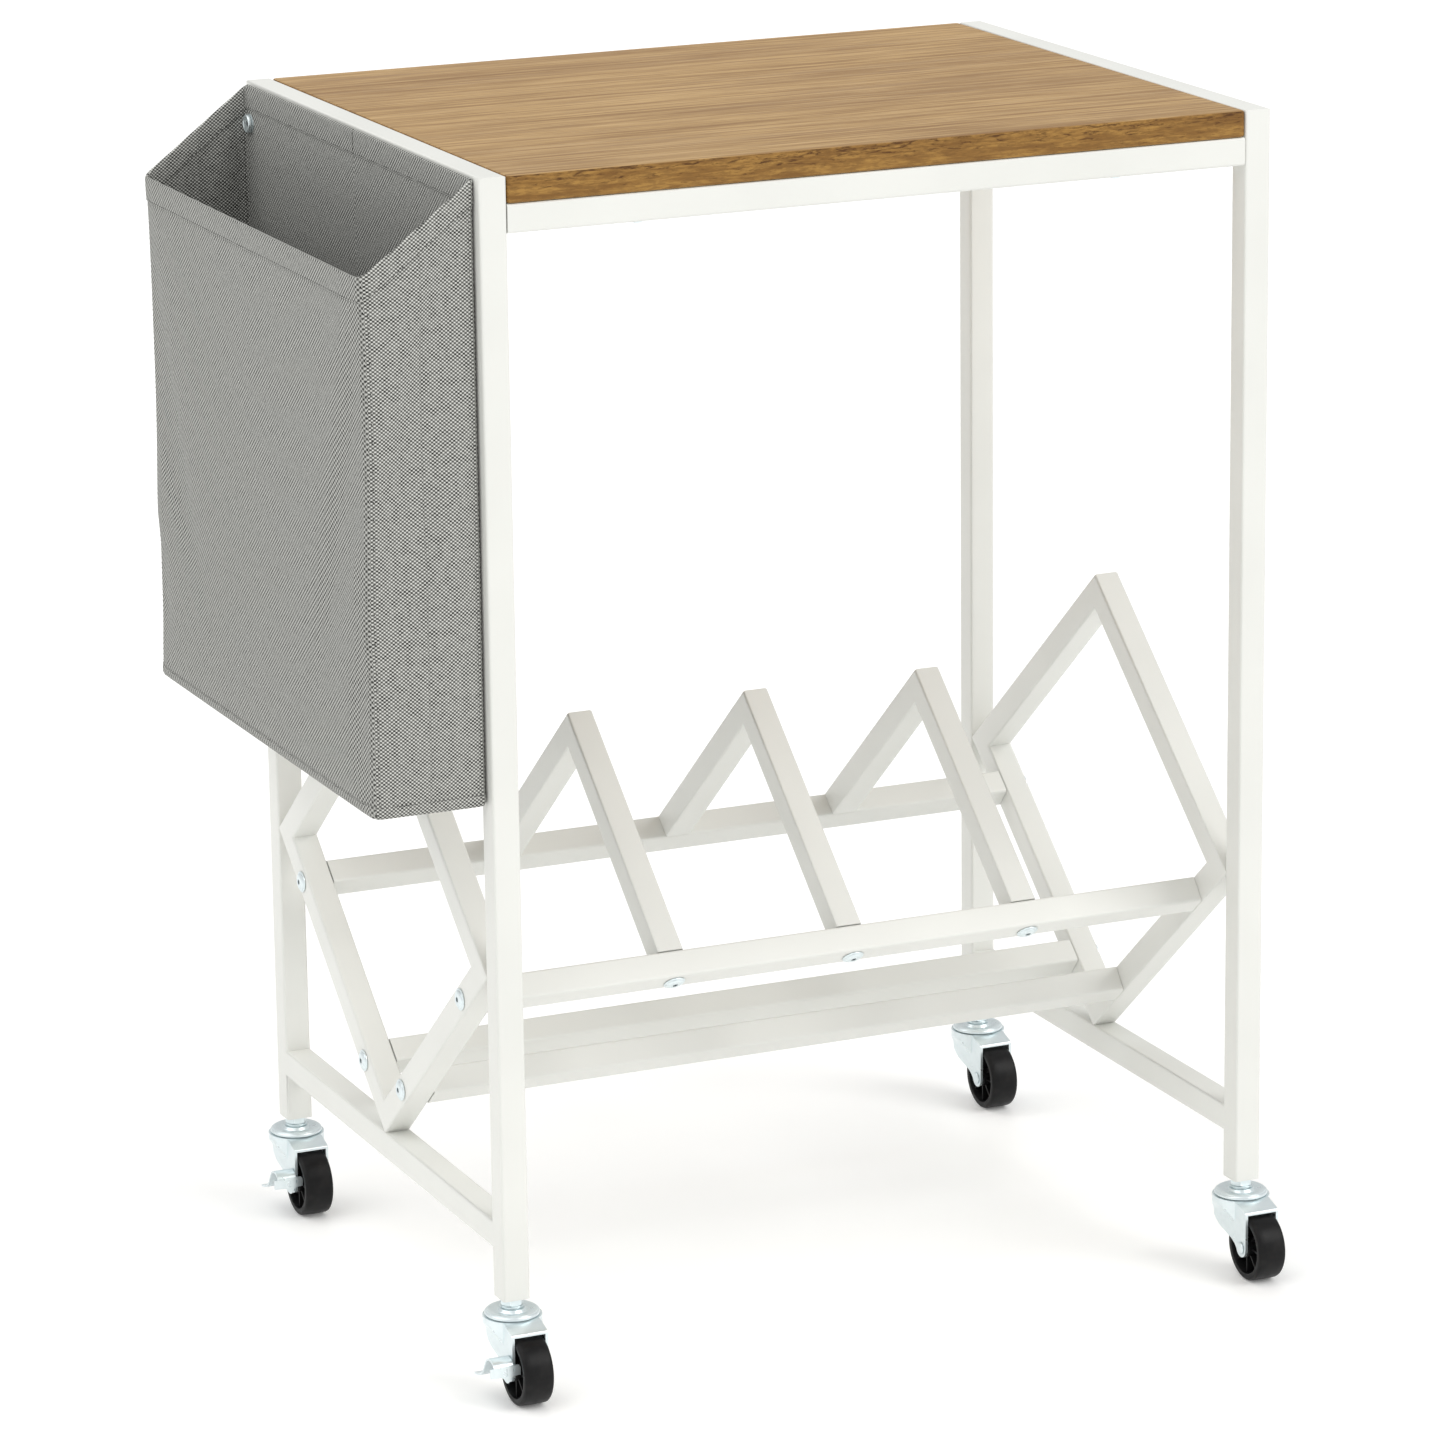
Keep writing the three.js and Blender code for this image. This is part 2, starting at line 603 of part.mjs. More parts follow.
function addRackBolts(frame) {
  const endBolt = bolt(TUBE + BOLT_GRIP + 2 * GAP);
  for (const side of SIDES) {
    const outward = X_AXIS.clone().multiplyScalar(side);
    railPlaces.forEach(([y, z], i) => {
      const name = `rack_bolt_${side < 0 ? "left" : "right"}_${i + 1}`;
      addFastener(frame, name, endBolt, [side * (WIDTH / 2 + GAP), y, z], outward);
    });
    dividerPlaces.forEach((x, i) => {
      const outwardDown = faceNormal(side).negate();
      const [y, z] = railCentre(UPPER_RAIL_Y);
      const at = new THREE.Vector3(x, side * y, z).addScaledVector(outwardDown, TUBE / 2 + GAP);
      const name = `divider_bolt_${side < 0 ? "front" : "rear"}_${i + 1}`;
      addFastener(frame, name, endBolt, at.toArray(), outwardDown);
    });
  }
}

function addTopFasteners(frame) {
  const rightBolt = bolt(TUBE + BOLT_GRIP + 2 * GAP);
  const clamped = POCKET_FABRIC + WASHER_THICKNESS + 2 * GAP;
  const leftBolt = bolt(TUBE + BOLT_GRIP + 2 * GAP + clamped, POCKET_HEAD_RADIUS);
  const left = X_AXIS.clone().negate();
  const screw = boardScrew();
  for (const side of SIDES) {
    const end = side < 0 ? "front" : "rear";
    const y = side * TOP_BOLT_Y;
    const washerX = -WIDTH / 2 - POCKET_FABRIC - 2 * GAP;
    const headX = washerX - WASHER_THICKNESS - GAP;
    addFastener(frame, `top_bolt_right_${end}`, rightBolt, [WIDTH / 2 + GAP, y, TOP_RAIL_MIDDLE], X_AXIS);
    addFastener(frame, `top_bolt_left_${end}`, leftBolt, [headX, y, TOP_RAIL_MIDDLE], left);
    addFastener(frame, `pocket_washer_${end}`, washer(), [washerX, y, TOP_RAIL_MIDDLE], left);
    SIDES.forEach((hand) => {
      const at = [hand * BOARD_SCREW_X, side * LEG_Y, TOP_RAIL_MIDDLE - TUBE / 2 - GAP];
      const name = `board_screw_${end}_${hand < 0 ? "left" : "right"}`;
      addFastener(frame, name, screw, at, Z_AXIS.clone().negate());
    });
  }
}

function addCaster(frame, name, x, y, hasBrake) {
  const caster = new THREE.Group();
  caster.position.set(x, y, 0);
  frame.add(caster);
  const atAxle = [0, -TRAIL, AXLE_Z];
  const leftHead = hasBrake ? LEVER_INNER + LEVER_SHEET + GAP : FORK_HALF_WIDTH + GAP;
  add(caster, `${name}_leg_insert`, legInsert(), plastic);
  add(caster, `${name}_caster_stem`, casterStem(), zinc);
  add(caster, `${name}_fork`, fork(), zinc);
  add(caster, `${name}_wheel`, wheel(), black, atAxle);
  add(caster, `${name}_axle`, axle(leftHead), zinc, atAxle);
  if (hasBrake) add(caster, `${name}_brake_lever`, brakeLever(), zinc, atAxle);
}

const frame = new THREE.Group();
frame.position.z = CASTER_HEIGHT;
table.add(frame);
addFrame(frame);
addRack(frame);
addRackBolts(frame);
addTopFasteners(frame);
add(frame, "side_pocket", pocket(), fabric);
add(frame, "pocket_base_board", baseBoard(), plastic);
addCaster(frame, "front_left", -LEG_X, -LEG_Y, true);
addCaster(frame, "rear_left", -LEG_X, LEG_Y, true);
addCaster(frame, "front_right", LEG_X, -LEG_Y, false);
addCaster(frame, "rear_right", LEG_X, LEG_Y, false);

// The origin is the middle of the whole table's footprint, on the floor.
const middle = new THREE.Box3().setFromObject(table).getCenter(new THREE.Vector3());
table.position.set(-middle.x, -middle.y, 0);

export default table;
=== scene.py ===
import math

import bmesh
import bpy
from mathutils import Matrix, Quaternion, Vector


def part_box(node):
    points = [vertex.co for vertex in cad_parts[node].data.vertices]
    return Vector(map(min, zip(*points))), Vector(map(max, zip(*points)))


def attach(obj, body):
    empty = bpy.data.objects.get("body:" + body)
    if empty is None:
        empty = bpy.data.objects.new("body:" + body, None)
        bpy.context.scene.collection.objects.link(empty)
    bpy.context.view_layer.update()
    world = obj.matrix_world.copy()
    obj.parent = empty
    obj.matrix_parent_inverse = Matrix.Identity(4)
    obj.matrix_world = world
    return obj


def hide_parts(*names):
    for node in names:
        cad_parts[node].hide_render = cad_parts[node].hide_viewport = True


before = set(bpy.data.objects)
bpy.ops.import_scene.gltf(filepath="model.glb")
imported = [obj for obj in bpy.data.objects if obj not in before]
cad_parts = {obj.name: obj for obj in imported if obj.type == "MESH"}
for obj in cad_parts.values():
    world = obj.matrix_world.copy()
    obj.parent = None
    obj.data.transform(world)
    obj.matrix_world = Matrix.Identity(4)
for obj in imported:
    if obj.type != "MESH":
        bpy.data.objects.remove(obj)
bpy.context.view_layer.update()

MM = 0.001
CORNERS = ("front_left", "rear_left", "front_right", "rear_right")
BRAKED = ("front_left", "rear_left")

# The camera: the best fit to the photograph that needs no shift.
CAMERA_PLACE = (-1.7499, -3.9918, 1.5814)
CAMERA_AZIMUTH = -23.721
CAMERA_ELEVATION = 15.120
CAMERA_ROLL = -0.727
SENSOR = 36
LENS = 154.93

# Light and floor.
SKY_STRENGTH = 0.66
SUNS = (
    # name, strength, angle across, direction that it comes from
    ("key", 1.25, 34, (0.50, -0.60, 0.62)),
    ("fill", 1.15, 70, (-0.62, -0.05, 0.75)),
)
FLOOR_SIZE = 60
FLOOR_GLOW = 0.12

# Fabric of the pocket, in metres.
CLOTH = 1.3 * MM
HEM = 17.5 * MM
HEM_PROUD = 0.75 * MM
FOOT_HEM = 10 * MM
FOOT_HEM_PROUD = 0.45 * MM
POCKET_INSET = CLOTH / 2 + HEM_PROUD + 0.1 * MM
OUTER_CORNER = 7 * MM
FRAME_CORNER = 3.5 * MM
PINNED_REACH = 12 * MM
CORNER_STEPS = 12
FOOT_ROUND = 4 * MM
RIM_DROP = 60 * MM
STATION = 7 * MM
CREASE_WIDTH = 1.1 * MM
CREASE_DEPTH = 0.45 * MM
CORNER_SEAM = 2.5 * MM
HEM_GAP = 1.5 * MM
ROWS = 46
HANG_GRID = (88, 30)
CLOTH_FRAMES = 24
CLOTH_MASS = 0.25
CLOTH_STIFFNESS = 25
CLOTH_SHEAR = 12
CLOTH_BENDING = 6
CLOTH_PRESSURE = 0.12
RIM_HOLD = 0.55  # how firmly the rim is pinned, of 1
CLOTH_LIMIT = 2.2 * MM
STITCH_PITCH = 3.4 * MM
STITCH_LENGTH = 2.5 * MM
STITCH_WIDTH = 0.75 * MM
STITCH_DROP = 16.4 * MM
FOOT_STITCH_RISE = 9.2 * MM
SEAM_DOT = 1.2 * MM
SEAM_PITCH = 4.1 * MM

# Repeats per metre of the weave, across and up, on the long panels and on the ends.
PANEL_WEAVE = (250, 280)
END_WEAVE = (330, 395)

# Bolts, in metres.
RACK_HEAD_RADIUS = 7.8 * MM
HEAD_HEIGHT = 2.6 * MM
SOCKET_RADIUS = 2.1 * MM
SOCKET_DEPTH = 1.5 * MM
SHANK_RADIUS = 2.9 * MM
DIVIDER_BOLT = 29 * MM
DIVIDER_BOLT_REACH = 10.3 * MM  # from the rail's middle to the underside of the head

# A CAD bolt head has ten sides, so its box is this share of its width in height.
POLYGON_REACH = math.cos(math.radians(18))

# Casters: profiles and outlines below are in millimetres from the swivel axis at the
# underside of the leg, or from the axle.
TRAIL = 25.5
WHEEL_RADIUS = 25
CASTER_HEIGHT = 70
AXLE_Z = WHEEL_RADIUS - CASTER_HEIGHT
CUP_RADIUS = 21
CHEEK = 13.5
SHEET = 2
FORK_TOP = -12.5
TIP_RADIUS = 7
NUT_REACH = 8.3
LIP_START = -18.2
LIP_END = -31
LIP_END_Z = -16.3
WAIST_TOP = -14
WAIST_DROP = 15
PIN_HOLE = 4.3
AXLE_HOLE = 3.3
STEM_TOP = 21.7
LEVER_SHEET = 1.4
LEVER_INNER = 14
LEVER_OUTER = 28.5
SPOKES = 8


# ---- materials ----------------------------------------------------------------------


class Nodes:
    """Builds one material's node tree."""

    def __init__(self, name):
        self.material = bpy.data.materials.new(name)
        self.material.use_nodes = True
        self.tree = self.material.node_tree
        self.shader = self.tree.nodes["Principled BSDF"]

    def add(self, kind, inputs=None, **settings):
        node = self.tree.nodes.new(kind)
        for key, value in settings.items():
            setattr(node, key, value)
        for key, value in (inputs or {}).items():
            self.feed(node.inputs[key], value)
        return node

    def feed(self, socket, value):
        if isinstance(value, bpy.types.NodeSocket):
            self.tree.links.new(value, socket)
        else:
            socket.default_value = value

    def set(self, **values):
        for key, value in values.items():
            self.feed(self.shader.inputs[key.replace("_", " ")], value)

    def math(self, operation, a, b=0.0, clamp=False):
        node = self.add("ShaderNodeMath", {0: a, 1: b}, operation=operation, use_clamp=clamp)
        return node.outputs[0]

    def place(self, scale=(1, 1, 1), source="Object"):
        where = self.add("ShaderNodeTexCoord").outputs[source]
        return self.add("ShaderNodeMapping", {"Vector": where, "Scale": scale}).outputs[0]

    def noise(self, where, scale, detail=3.0, roughness=0.55, distortion=0.0):
        inputs = {"Vector": where, "Scale": scale, "Detail": detail, "Roughness": roughness}
        node = self.add("ShaderNodeTexNoise", inputs)
        node.inputs["Distortion"].default_value = distortion
        return node.outputs[0]

    def spread(self, value, low, high, to_low=0.0, to_high=1.0):
        inputs = {"Value": value, "From Min": low, "From Max": high, "To Min": to_low, "To Max": to_high}
        return self.add("ShaderNodeMapRange", inputs, interpolation_type="SMOOTHSTEP").outputs[0]

    def mix(self, share, a, b, blend="MIX"):
        node = self.add("ShaderNodeMix", data_type="RGBA", blend_type=blend)
        for key, value in (("Factor", share), ("A", a), ("B", b)):
            sockets = [s for s in node.inputs if s.name == key and s.enabled]
            self.feed(sockets[0], value)
        return [s for s in node.outputs if s.enabled][0]

    def bump(self, height, distance, strength=1.0):
        inputs = {"Height": height, "Distance": distance, "Strength": strength}
        return self.add("ShaderNodeBump", inputs).outputs[0]


def powder_coat():
    """Warm white powder coat, with a fine orange peel."""
    n = Nodes("powder_coat")
    peel = n.noise(n.place(), 900, detail=2)
    cloud = n.noise(n.place(), 9, detail=2)
    share = n.spread(cloud, 0.3, 0.7)
    n.set(
        Base_Color=n.mix(share, (0.735, 0.74, 0.705, 1), (0.765, 0.77, 0.735, 1)),
        Roughness=n.spread(peel, 0.3, 0.7, 0.36, 0.5),
        Normal=n.bump(peel, 0.00006, 0.5),
    )
    n.shader.inputs["Specular IOR Level"].default_value = 0.35
    return n.material


def wood_face(n):
    """Colour of the board's faces: broad bands, long fine streaks and short dark pores."""
    broad = n.noise(n.place((2.4, 14, 14)), 1.0, detail=2, distortion=0.4)
    streak = n.noise(n.place((3.2, 120, 120)), 1.0, detail=5, roughness=0.65, distortion=0.25)
    fine = n.noise(n.place((14, 520, 520)), 1.0, detail=3, roughness=0.6)
    pores = n.noise(n.place((45, 1100, 1100)), 1.0, detail=2, roughness=0.7)
    colour = n.mix(n.spread(broad, 0.35, 0.66), (0.455, 0.288, 0.120, 1), (0.365, 0.222, 0.092, 1))
    colour = n.mix(n.math("MULTIPLY", n.spread(streak, 0.47, 0.66), 0.80), colour, (0.235, 0.130, 0.055, 1))
    colour = n.mix(n.math("MULTIPLY", n.spread(fine, 0.46, 0.62), 0.60), colour, (0.27, 0.155, 0.068, 1))
    colour = n.mix(n.math("MULTIPLY", n.spread(fine, 0.52, 0.34), 0.50), colour, (0.62, 0.425, 0.21, 1))
    colour = n.mix(n.math("MULTIPLY", n.spread(pores, 0.60, 0.72), 0.45), colour, (0.15, 0.075, 0.03, 1))
    return colour, streak, pores


def wood_edge(n):
    """Colour of the board's long edges: golden, with ragged dark flecks in rows near the top."""
    flow = n.noise(n.place((22, 150, 240)), 1.0, detail=4, roughness=0.65, distortion=0.5)
    grit = n.noise(n.place((150, 700, 700)), 1.0, detail=3, roughness=0.7)
    fleck = n.noise(n.place((85, 420, 620)), 1.0, detail=4, roughness=0.7, distortion=0.5)
    low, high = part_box("table_top")
    where = n.add("ShaderNodeTexCoord").outputs["Object"]
    height = n.add("ShaderNodeSeparateXYZ", {"Vector": where}).outputs["Z"]
    share = n.spread(height, low.z, high.z, 0.0, 0.13)
    colour = n.mix(n.spread(flow, 0.34, 0.66), (0.37, 0.203, 0.053, 1), (0.205, 0.100, 0.026, 1))
    colour = n.mix(n.math("MULTIPLY", n.spread(grit, 0.42, 0.62), 0.55), colour, (0.17, 0.085, 0.025, 1))
    marked = n.spread(n.math("ADD", fleck, share), 0.60, 0.76)
    return n.mix(n.math("MULTIPLY", marked, 0.90), colour, (0.075, 0.030, 0.010, 1))


def board_wood():
    """Light walnut with its grain along the board and a satin varnish."""
    n = Nodes("board_wood")
    normal = n.add("ShaderNodeNewGeometry").outputs["True Normal"]
    facing = n.math("ABSOLUTE", n.add("ShaderNodeSeparateXYZ", {"Vector": normal}).outputs["Z"])
    face, streak, pores = wood_face(n)
    relief = n.math("ADD", n.math("MULTIPLY", streak, 0.5), pores)
    n.set(
        Base_Color=n.mix(n.spread(facing, 0.45, 0.8, 1.0, 0.0), face, wood_edge(n)),
        Roughness=n.spread(streak, 0.3, 0.7, 0.44, 0.6),
        Normal=n.bump(relief, 0.00012, 0.35),
    )
    n.shader.inputs["Specular IOR Level"].default_value = 0.16
    return n.material


def zinc_plate():
    """Bright zinc plate, slightly blue, with very faint clouding."""
    n = Nodes("zinc_plate")
    cloud = n.noise(n.place(), 140, detail=2)
    fine = n.noise(n.place(), 700, detail=2)
    n.set(
        Base_Color=n.mix(n.spread(cloud, 0.3, 0.7), (0.735, 0.815, 0.835, 1), (0.775, 0.85, 0.87, 1)),
        Metallic=0.72,
        Roughness=n.spread(cloud, 0.25, 0.75, 0.27, 0.35),
        Normal=n.bump(fine, 0.00002, 0.2),
    )
    return n.material


def painted_socket_shade():
    """Painted shade for the inside of a socket in a bolt's head: dull, near-black zinc with a faint mottle.
    """
    n = Nodes("painted_socket_shade")
    shade_mottle = n.noise(n.place(), 900, detail=2)
    n.set(
        Base_Color=n.mix(shade_mottle, (0.035, 0.038, 0.042, 1), (0.10, 0.105, 0.11, 1)),
        Metallic=0.5,
        Roughness=0.6,
    )
    return n.material


def black_plastic():
    """Moulded black plastic with a soft shine and a fine mould texture."""
    n = Nodes("black_plastic")
    fine = n.noise(n.place(), 1500, detail=2)
    wear = n.noise(n.place(), 120, detail=4)
    n.set(
        Base_Color=n.mix(n.spread(wear, 0.4, 0.75), (0.006, 0.006, 0.0065, 1), (0.012, 0.0115, 0.0115, 1)),
        Roughness=n.spread(wear, 0.3, 0.7, 0.36, 0.48),
        Normal=n.bump(fine, 0.00004, 0.4),
    )
    n.shader.inputs["Specular IOR Level"].default_value = 0.17
    return n.material


def grey_plastic():
    """Plain moulded plastic of the leg inserts."""
    n = Nodes("grey_plastic")
    fine = n.noise(n.place(), 1100, detail=2)
    n.set(
        Base_Color=n.mix(n.spread(fine, 0.3, 0.7), (0.34, 0.34, 0.35, 1), (0.42, 0.42, 0.43, 1)),
        Roughness=0.6,
        Normal=n.bump(fine, 0.00006, 0.5),
    )
    return n.material


def woven_fabric(name, weave, tone, gap_shade_spread):
    """Two-tone basket weave in the cloth's own flat coordinates, in metres: light floats with dark
    gaps between them, the gaps' darkness being painted shade in the holes between the threads.
    weave is how often it repeats in a metre, across and up, tone is how light the yarn is, partly
    painted light and shade that differs between the panels, and openness is how far the painted
    shade of the gaps spreads."""
    n = Nodes(name)
    flat = n.add("ShaderNodeSeparateXYZ", {"Vector": n.add("ShaderNodeTexCoord").outputs["UV"]})
    drift = n.noise(n.place((60, 60, 60), "UV"), 1.0, detail=2)
    wander = n.math("MULTIPLY", n.math("SUBTRACT", drift, 0.5), 1.0)
    turn = 2 * math.pi
    across = n.math("ADD", n.math("MULTIPLY", flat.outputs["X"], turn * weave[0]), wander)
    up = n.math("ADD", n.math("MULTIPLY", flat.outputs["Y"], turn * weave[1]), wander)
    crossing = n.math("MULTIPLY", n.math("COSINE", across), n.math("COSINE", up))
    gaps = n.spread(crossing, -0.25 - gap_shade_spread, 0.55 - gap_shade_spread)
    floats = n.spread(crossing, -0.95, 0.05, 1.0, 0.0)
    thread_noise = n.noise(n.place((420, 420, 420), "UV"), 1.0, detail=3, roughness=0.7)
    slub = n.noise(n.place((170, 170, 170), "UV"), 1.0, detail=2)
    yarn = n.mix(n.spread(thread_noise, 0.3, 0.7), (0.47, 0.475, 0.445, 1), (0.62, 0.625, 0.59, 1))
    yarn = n.mix(n.math("MULTIPLY", floats, 0.75), yarn, (0.86, 0.865, 0.82, 1))
    depth = n.spread(slub, 0.30, 0.62, 1.0, 0.80)
    yarn = n.mix(1.0, yarn, (tone, tone, tone, 1), "MULTIPLY")
    # Painted shade: the gaps between the threads are darkened to near black, a little less where the slub
    # noise lowers depth.
    colour = n.mix(n.math("MULTIPLY", gaps, depth), yarn, (0.018, 0.018, 0.017, 1))
    height = n.math("SUBTRACT", n.math("ADD", floats, n.math("MULTIPLY", thread_noise, 0.3)), gaps)
    n.set(Base_Color=colour, Roughness=0.92, Normal=n.bump(height, 0.0003, 0.7))
    n.shader.inputs["Specular IOR Level"].default_value = 0.15
    n.shader.inputs["Sheen Weight"].default_value = 0.12
    n.shader.inputs["Sheen Roughness"].default_value = 0.5
    return n.material


def thread_yarn():
    """Sewing thread, with its twist as a fine ripple."""
    n = Nodes("sewing_thread")
    twist = n.noise(n.place(), 2600, detail=1)
    n.set(
        Base_Color=n.mix(twist, (0.045, 0.045, 0.042, 1), (0.11, 0.11, 0.105, 1)),
        Roughness=0.8,
        Normal=n.bump(twist, 0.0001, 0.6),
    )
    return n.material


def floor_paint():
    """Plain pale studio floor, with a hardly visible mottle."""
    n = Nodes("studio_floor")
    mottle = n.noise(n.place(), 3, detail=2)
    n.set(
        Base_Color=n.mix(n.spread(mottle, 0.3, 0.7), (0.96, 0.96, 0.955, 1), (0.965, 0.965, 0.96, 1)),
        Roughness=0.42,
    )
    n.shader.inputs["Specular IOR Level"].default_value = 0.25
    n.shader.inputs["Emission Color"].default_value = (1, 1, 0.99, 1)
    n.shader.inputs["Emission Strength"].default_value = FLOOR_GLOW
    return n.material


white = powder_coat()
wood = board_wood()
zinc = zinc_plate()
black = black_plastic()
plastic = grey_plastic()
socket_shade_material = painted_socket_shade()
thread = thread_yarn()
# One cloth in two copies: the ends get lighter yarn with wider, darker gaps and the long panels darker yarn
# with fainter gaps, painted light and shade for how each panel meets the light and the view.
panel_fabric = woven_fabric("panel_fabric", PANEL_WEAVE, 0.65, 0.0)
end_fabric = woven_fabric("end_fabric", END_WEAVE, 0.88, 0.18)


# ---- mesh helpers -----------------------------------------------------------------------


def make_object(name, vertices, faces, materials):
    mesh = bpy.data.meshes.new(name)
    mesh.from_pydata([tuple(v) for v in vertices], [], faces)
    mesh.validate()
    obj = bpy.data.objects.new(name, mesh)
    bpy.context.scene.collection.objects.link(obj)
    for material in materials:
        mesh.materials.append(material)
    return obj


def face_outward(obj):
    """Turns all faces of a closed mesh outward."""
    bm = bmesh.new()
    bm.from_mesh(obj.data)
    bmesh.ops.remove_doubles(bm, verts=bm.verts, dist=1e-7)
    bmesh.ops.recalc_face_normals(bm, faces=bm.faces)
    bm.to_mesh(obj.data)
    bm.free()


def smooth(obj, angle=40):
    obj.data.shade_smooth()
    obj.data.set_sharp_from_angle(angle=math.radians(angle))


def apply_modifiers(obj):
    bpy.context.view_layer.update()
    depsgraph = bpy.context.evaluated_depsgraph_get()
    mesh = bpy.data.meshes.new_from_object(obj.evaluated_get(depsgraph))
    obj.modifiers.clear()
    obj.data = mesh


def combine(obj, tool, operation):
    """Boolean of two closed objects; the tool is used up."""
    modifier = obj.modifiers.new("combine", "BOOLEAN")
    modifier.operation = operation
    modifier.object = tool
    modifier.solver = "EXACT"
    apply_modifiers(obj)
    bpy.data.objects.remove(tool)


def ease_edges(obj, width, segments=2, angle=35):
    """Small rounded edges, with the flats kept flat in the shading."""
    modifier = obj.modifiers.new("eased_edges", "BEVEL")
    modifier.width = width
    modifier.segments = segments
    modifier.limit_method = "ANGLE"
    modifier.angle_limit = math.radians(angle)
    modifier.use_clamp_overlap = True
    apply_modifiers(obj)
    smooth(obj, 50)
    weighted = obj.modifiers.new("flat_shading", "WEIGHTED_NORMAL")
    weighted.keep_sharp = True


def lathe(name, profile, steps, material, unit=MM):
    """A closed body turned about Z from [radius, height] points that start and end on the axis."""
    vertices, faces, rings = [], [], []
    for radius, height in profile:
        if radius == 0:
            rings.append([len(vertices)])
            vertices.append((0, 0, height * unit))
            continue
        rings.append(list(range(len(vertices), len(vertices) + steps)))
        for i in range(steps):
            angle = 2 * math.pi * i / steps
            vertices.append((radius * unit * math.cos(angle), radius * unit * math.sin(angle), height * unit))
    for low, high in zip(rings, rings[1:]):
        for i in range(steps):
            j = (i + 1) % steps
            face = [low[i % len(low)], low[j % len(low)], high[j % len(high)], high[i % len(high)]]
            faces.append(list(dict.fromkeys(face)))
    obj = make_object(name, vertices, [f for f in faces if len(f) > 2], [material])
    face_outward(obj)
    return obj


def ring_lathe(name, profile, steps, material, unit=MM):
    """The same for a profile that closes on itself off the axis."""
    vertices, faces = [], []
    count = len(profile)
    for i in range(steps):
        angle = 2 * math.pi * i / steps
        for radius, height in profile:
            vertices.append((radius * unit * math.cos(angle), radius * unit * math.sin(angle), height * unit))
    for i in range(steps):
        near, far = i * count, (i + 1) % steps * count
        for j in range(count):
            k = (j + 1) % count
            faces.append([near + j, near + k, far + k, far + j])
    obj = make_object(name, vertices, faces, [material])
    face_outward(obj)
    return obj


def prism(name, outline, low, high, axes, material, unit=MM):
    """An outline in two of the axes, given a length along the third. axes names them in that order."""
    index = ["XYZ".index(a) for a in axes]
    vertices = []
    for end in (low, high):
        for a, b in outline:
            point = [0, 0, 0]
            for i, value in zip(index, (a, b, end)):
                point[i] = value * unit
            vertices.append(point)
    count = len(outline)
    faces = [list(range(count)), list(range(count, 2 * count))]
    faces += [[i, (i + 1) % count, count + (i + 1) % count, count + i] for i in range(count)]
    obj = make_object(name, vertices, faces, [material])
    face_outward(obj)
    return obj


def arc(centre, radius, start, end, steps):
    """Points of an arc, in degrees."""
    turns = [math.radians(start + (end - start) * i / steps) for i in range(steps + 1)]
    return [(centre[0] + radius * math.cos(t), centre[1] + radius * math.sin(t)) for t in turns]


def bend(start, control, end, steps):
    """Points of a quadratic curve, without its start."""
    points = []
    for i in range(1, steps + 1):
        t = i / steps
        shares = ((1 - t) ** 2, 2 * t * (1 - t), t * t)
        points.append(tuple(sum(s * p[k] for s, p in zip(shares, (start, control, end))) for k in (0, 1)))
    return points


def smooth_line(points, steps):
    """A smooth curve through the points, evenly divided between each pair."""
    padded = [points[0], *points, points[-1]]
    line = []
    for a, b, c, d in zip(padded, padded[1:], padded[2:], padded[3:]):
        for i in range(steps):
            t = i / steps
            weights = (
                (-t + 2 * t**2 - t**3) / 2, (2 - 5 * t**2 + 3 * t**3) / 2,
                (t + 4 * t**2 - 3 * t**3) / 2, (t**3 - t**2) / 2,
            )
            line.append(tuple(sum(w * p[k] for w, p in zip(weights, (a, b, c, d))) for k in (0, 1)))
    return [*line, points[-1]]


def thicken(line, thickness):
    """A line given a thickness, as an outline."""
    sides = [[], []]
    for i, (a, b) in enumerate(line):
        before, after = line[max(i - 1, 0)], line[min(i + 1, len(line) - 1)]
        along = Vector((after[0] - before[0], after[1] - before[1])).normalized()
        for side, sign in zip(sides, (1, -1)):
            side.append((a - sign * along.y * thickness / 2, b + sign * along.x * thickness / 2))
    return [*sides[0], *reversed(sides[1])]


def copy_of(obj, name):
    twin = bpy.data.objects.new(name, obj.data)
    bpy.context.scene.collection.objects.link(twin)
    for modifier in obj.modifiers:
        kept = twin.modifiers.new(modifier.name, modifier.type)
        if modifier.type == "WEIGHTED_NORMAL":
            kept.keep_sharp = modifier.keep_sharp
    return twin


def put(obj, place, body, slot, *nodes):
    """Places a piece, parents it to the body it rides on and hides the nodes it stands for. Its finish, slot,
    is not used.
    """
    obj.location = place
    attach(obj, body)
    if nodes:
        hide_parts(*nodes)
    return obj


def middle(node):
    low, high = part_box(node)
    return (low + high) / 2


# ---- frame and board: CAD nodes with better surfaces ---------------------------------------


def shading_group():
    """Geometry nodes that shade a CAD node smooth except at its real edges."""
    group = bpy.data.node_groups.new("shade_by_angle", "GeometryNodeTree")
    group.interface.new_socket("Geometry", in_out="INPUT", socket_type="NodeSocketGeometry")
    group.interface.new_socket("Geometry", in_out="OUTPUT", socket_type="NodeSocketGeometry")
    source = group.nodes.new("NodeGroupInput")
    target = group.nodes.new("NodeGroupOutput")
    all_smooth = group.nodes.new("GeometryNodeSetShadeSmooth")
    edges_sharp = group.nodes.new("GeometryNodeSetShadeSmooth")
    angle = group.nodes.new("GeometryNodeInputMeshEdgeAngle")
    compare = group.nodes.new("FunctionNodeCompare")
    all_smooth.domain = "FACE"
    edges_sharp.domain = "EDGE"
    edges_sharp.inputs["Shade Smooth"].default_value = False
    compare.operation = "GREATER_THAN"
    compare.inputs[1].default_value = math.radians(50)
    group.links.new(source.outputs[0], all_smooth.inputs["Geometry"])
    group.links.new(all_smooth.outputs[0], edges_sharp.inputs["Geometry"])
    group.links.new(angle.outputs["Unsigned Angle"], compare.inputs[0])
    group.links.new(compare.outputs[0], edges_sharp.inputs["Selection"])
    group.links.new(edges_sharp.outputs[0], target.inputs[0])
    return group


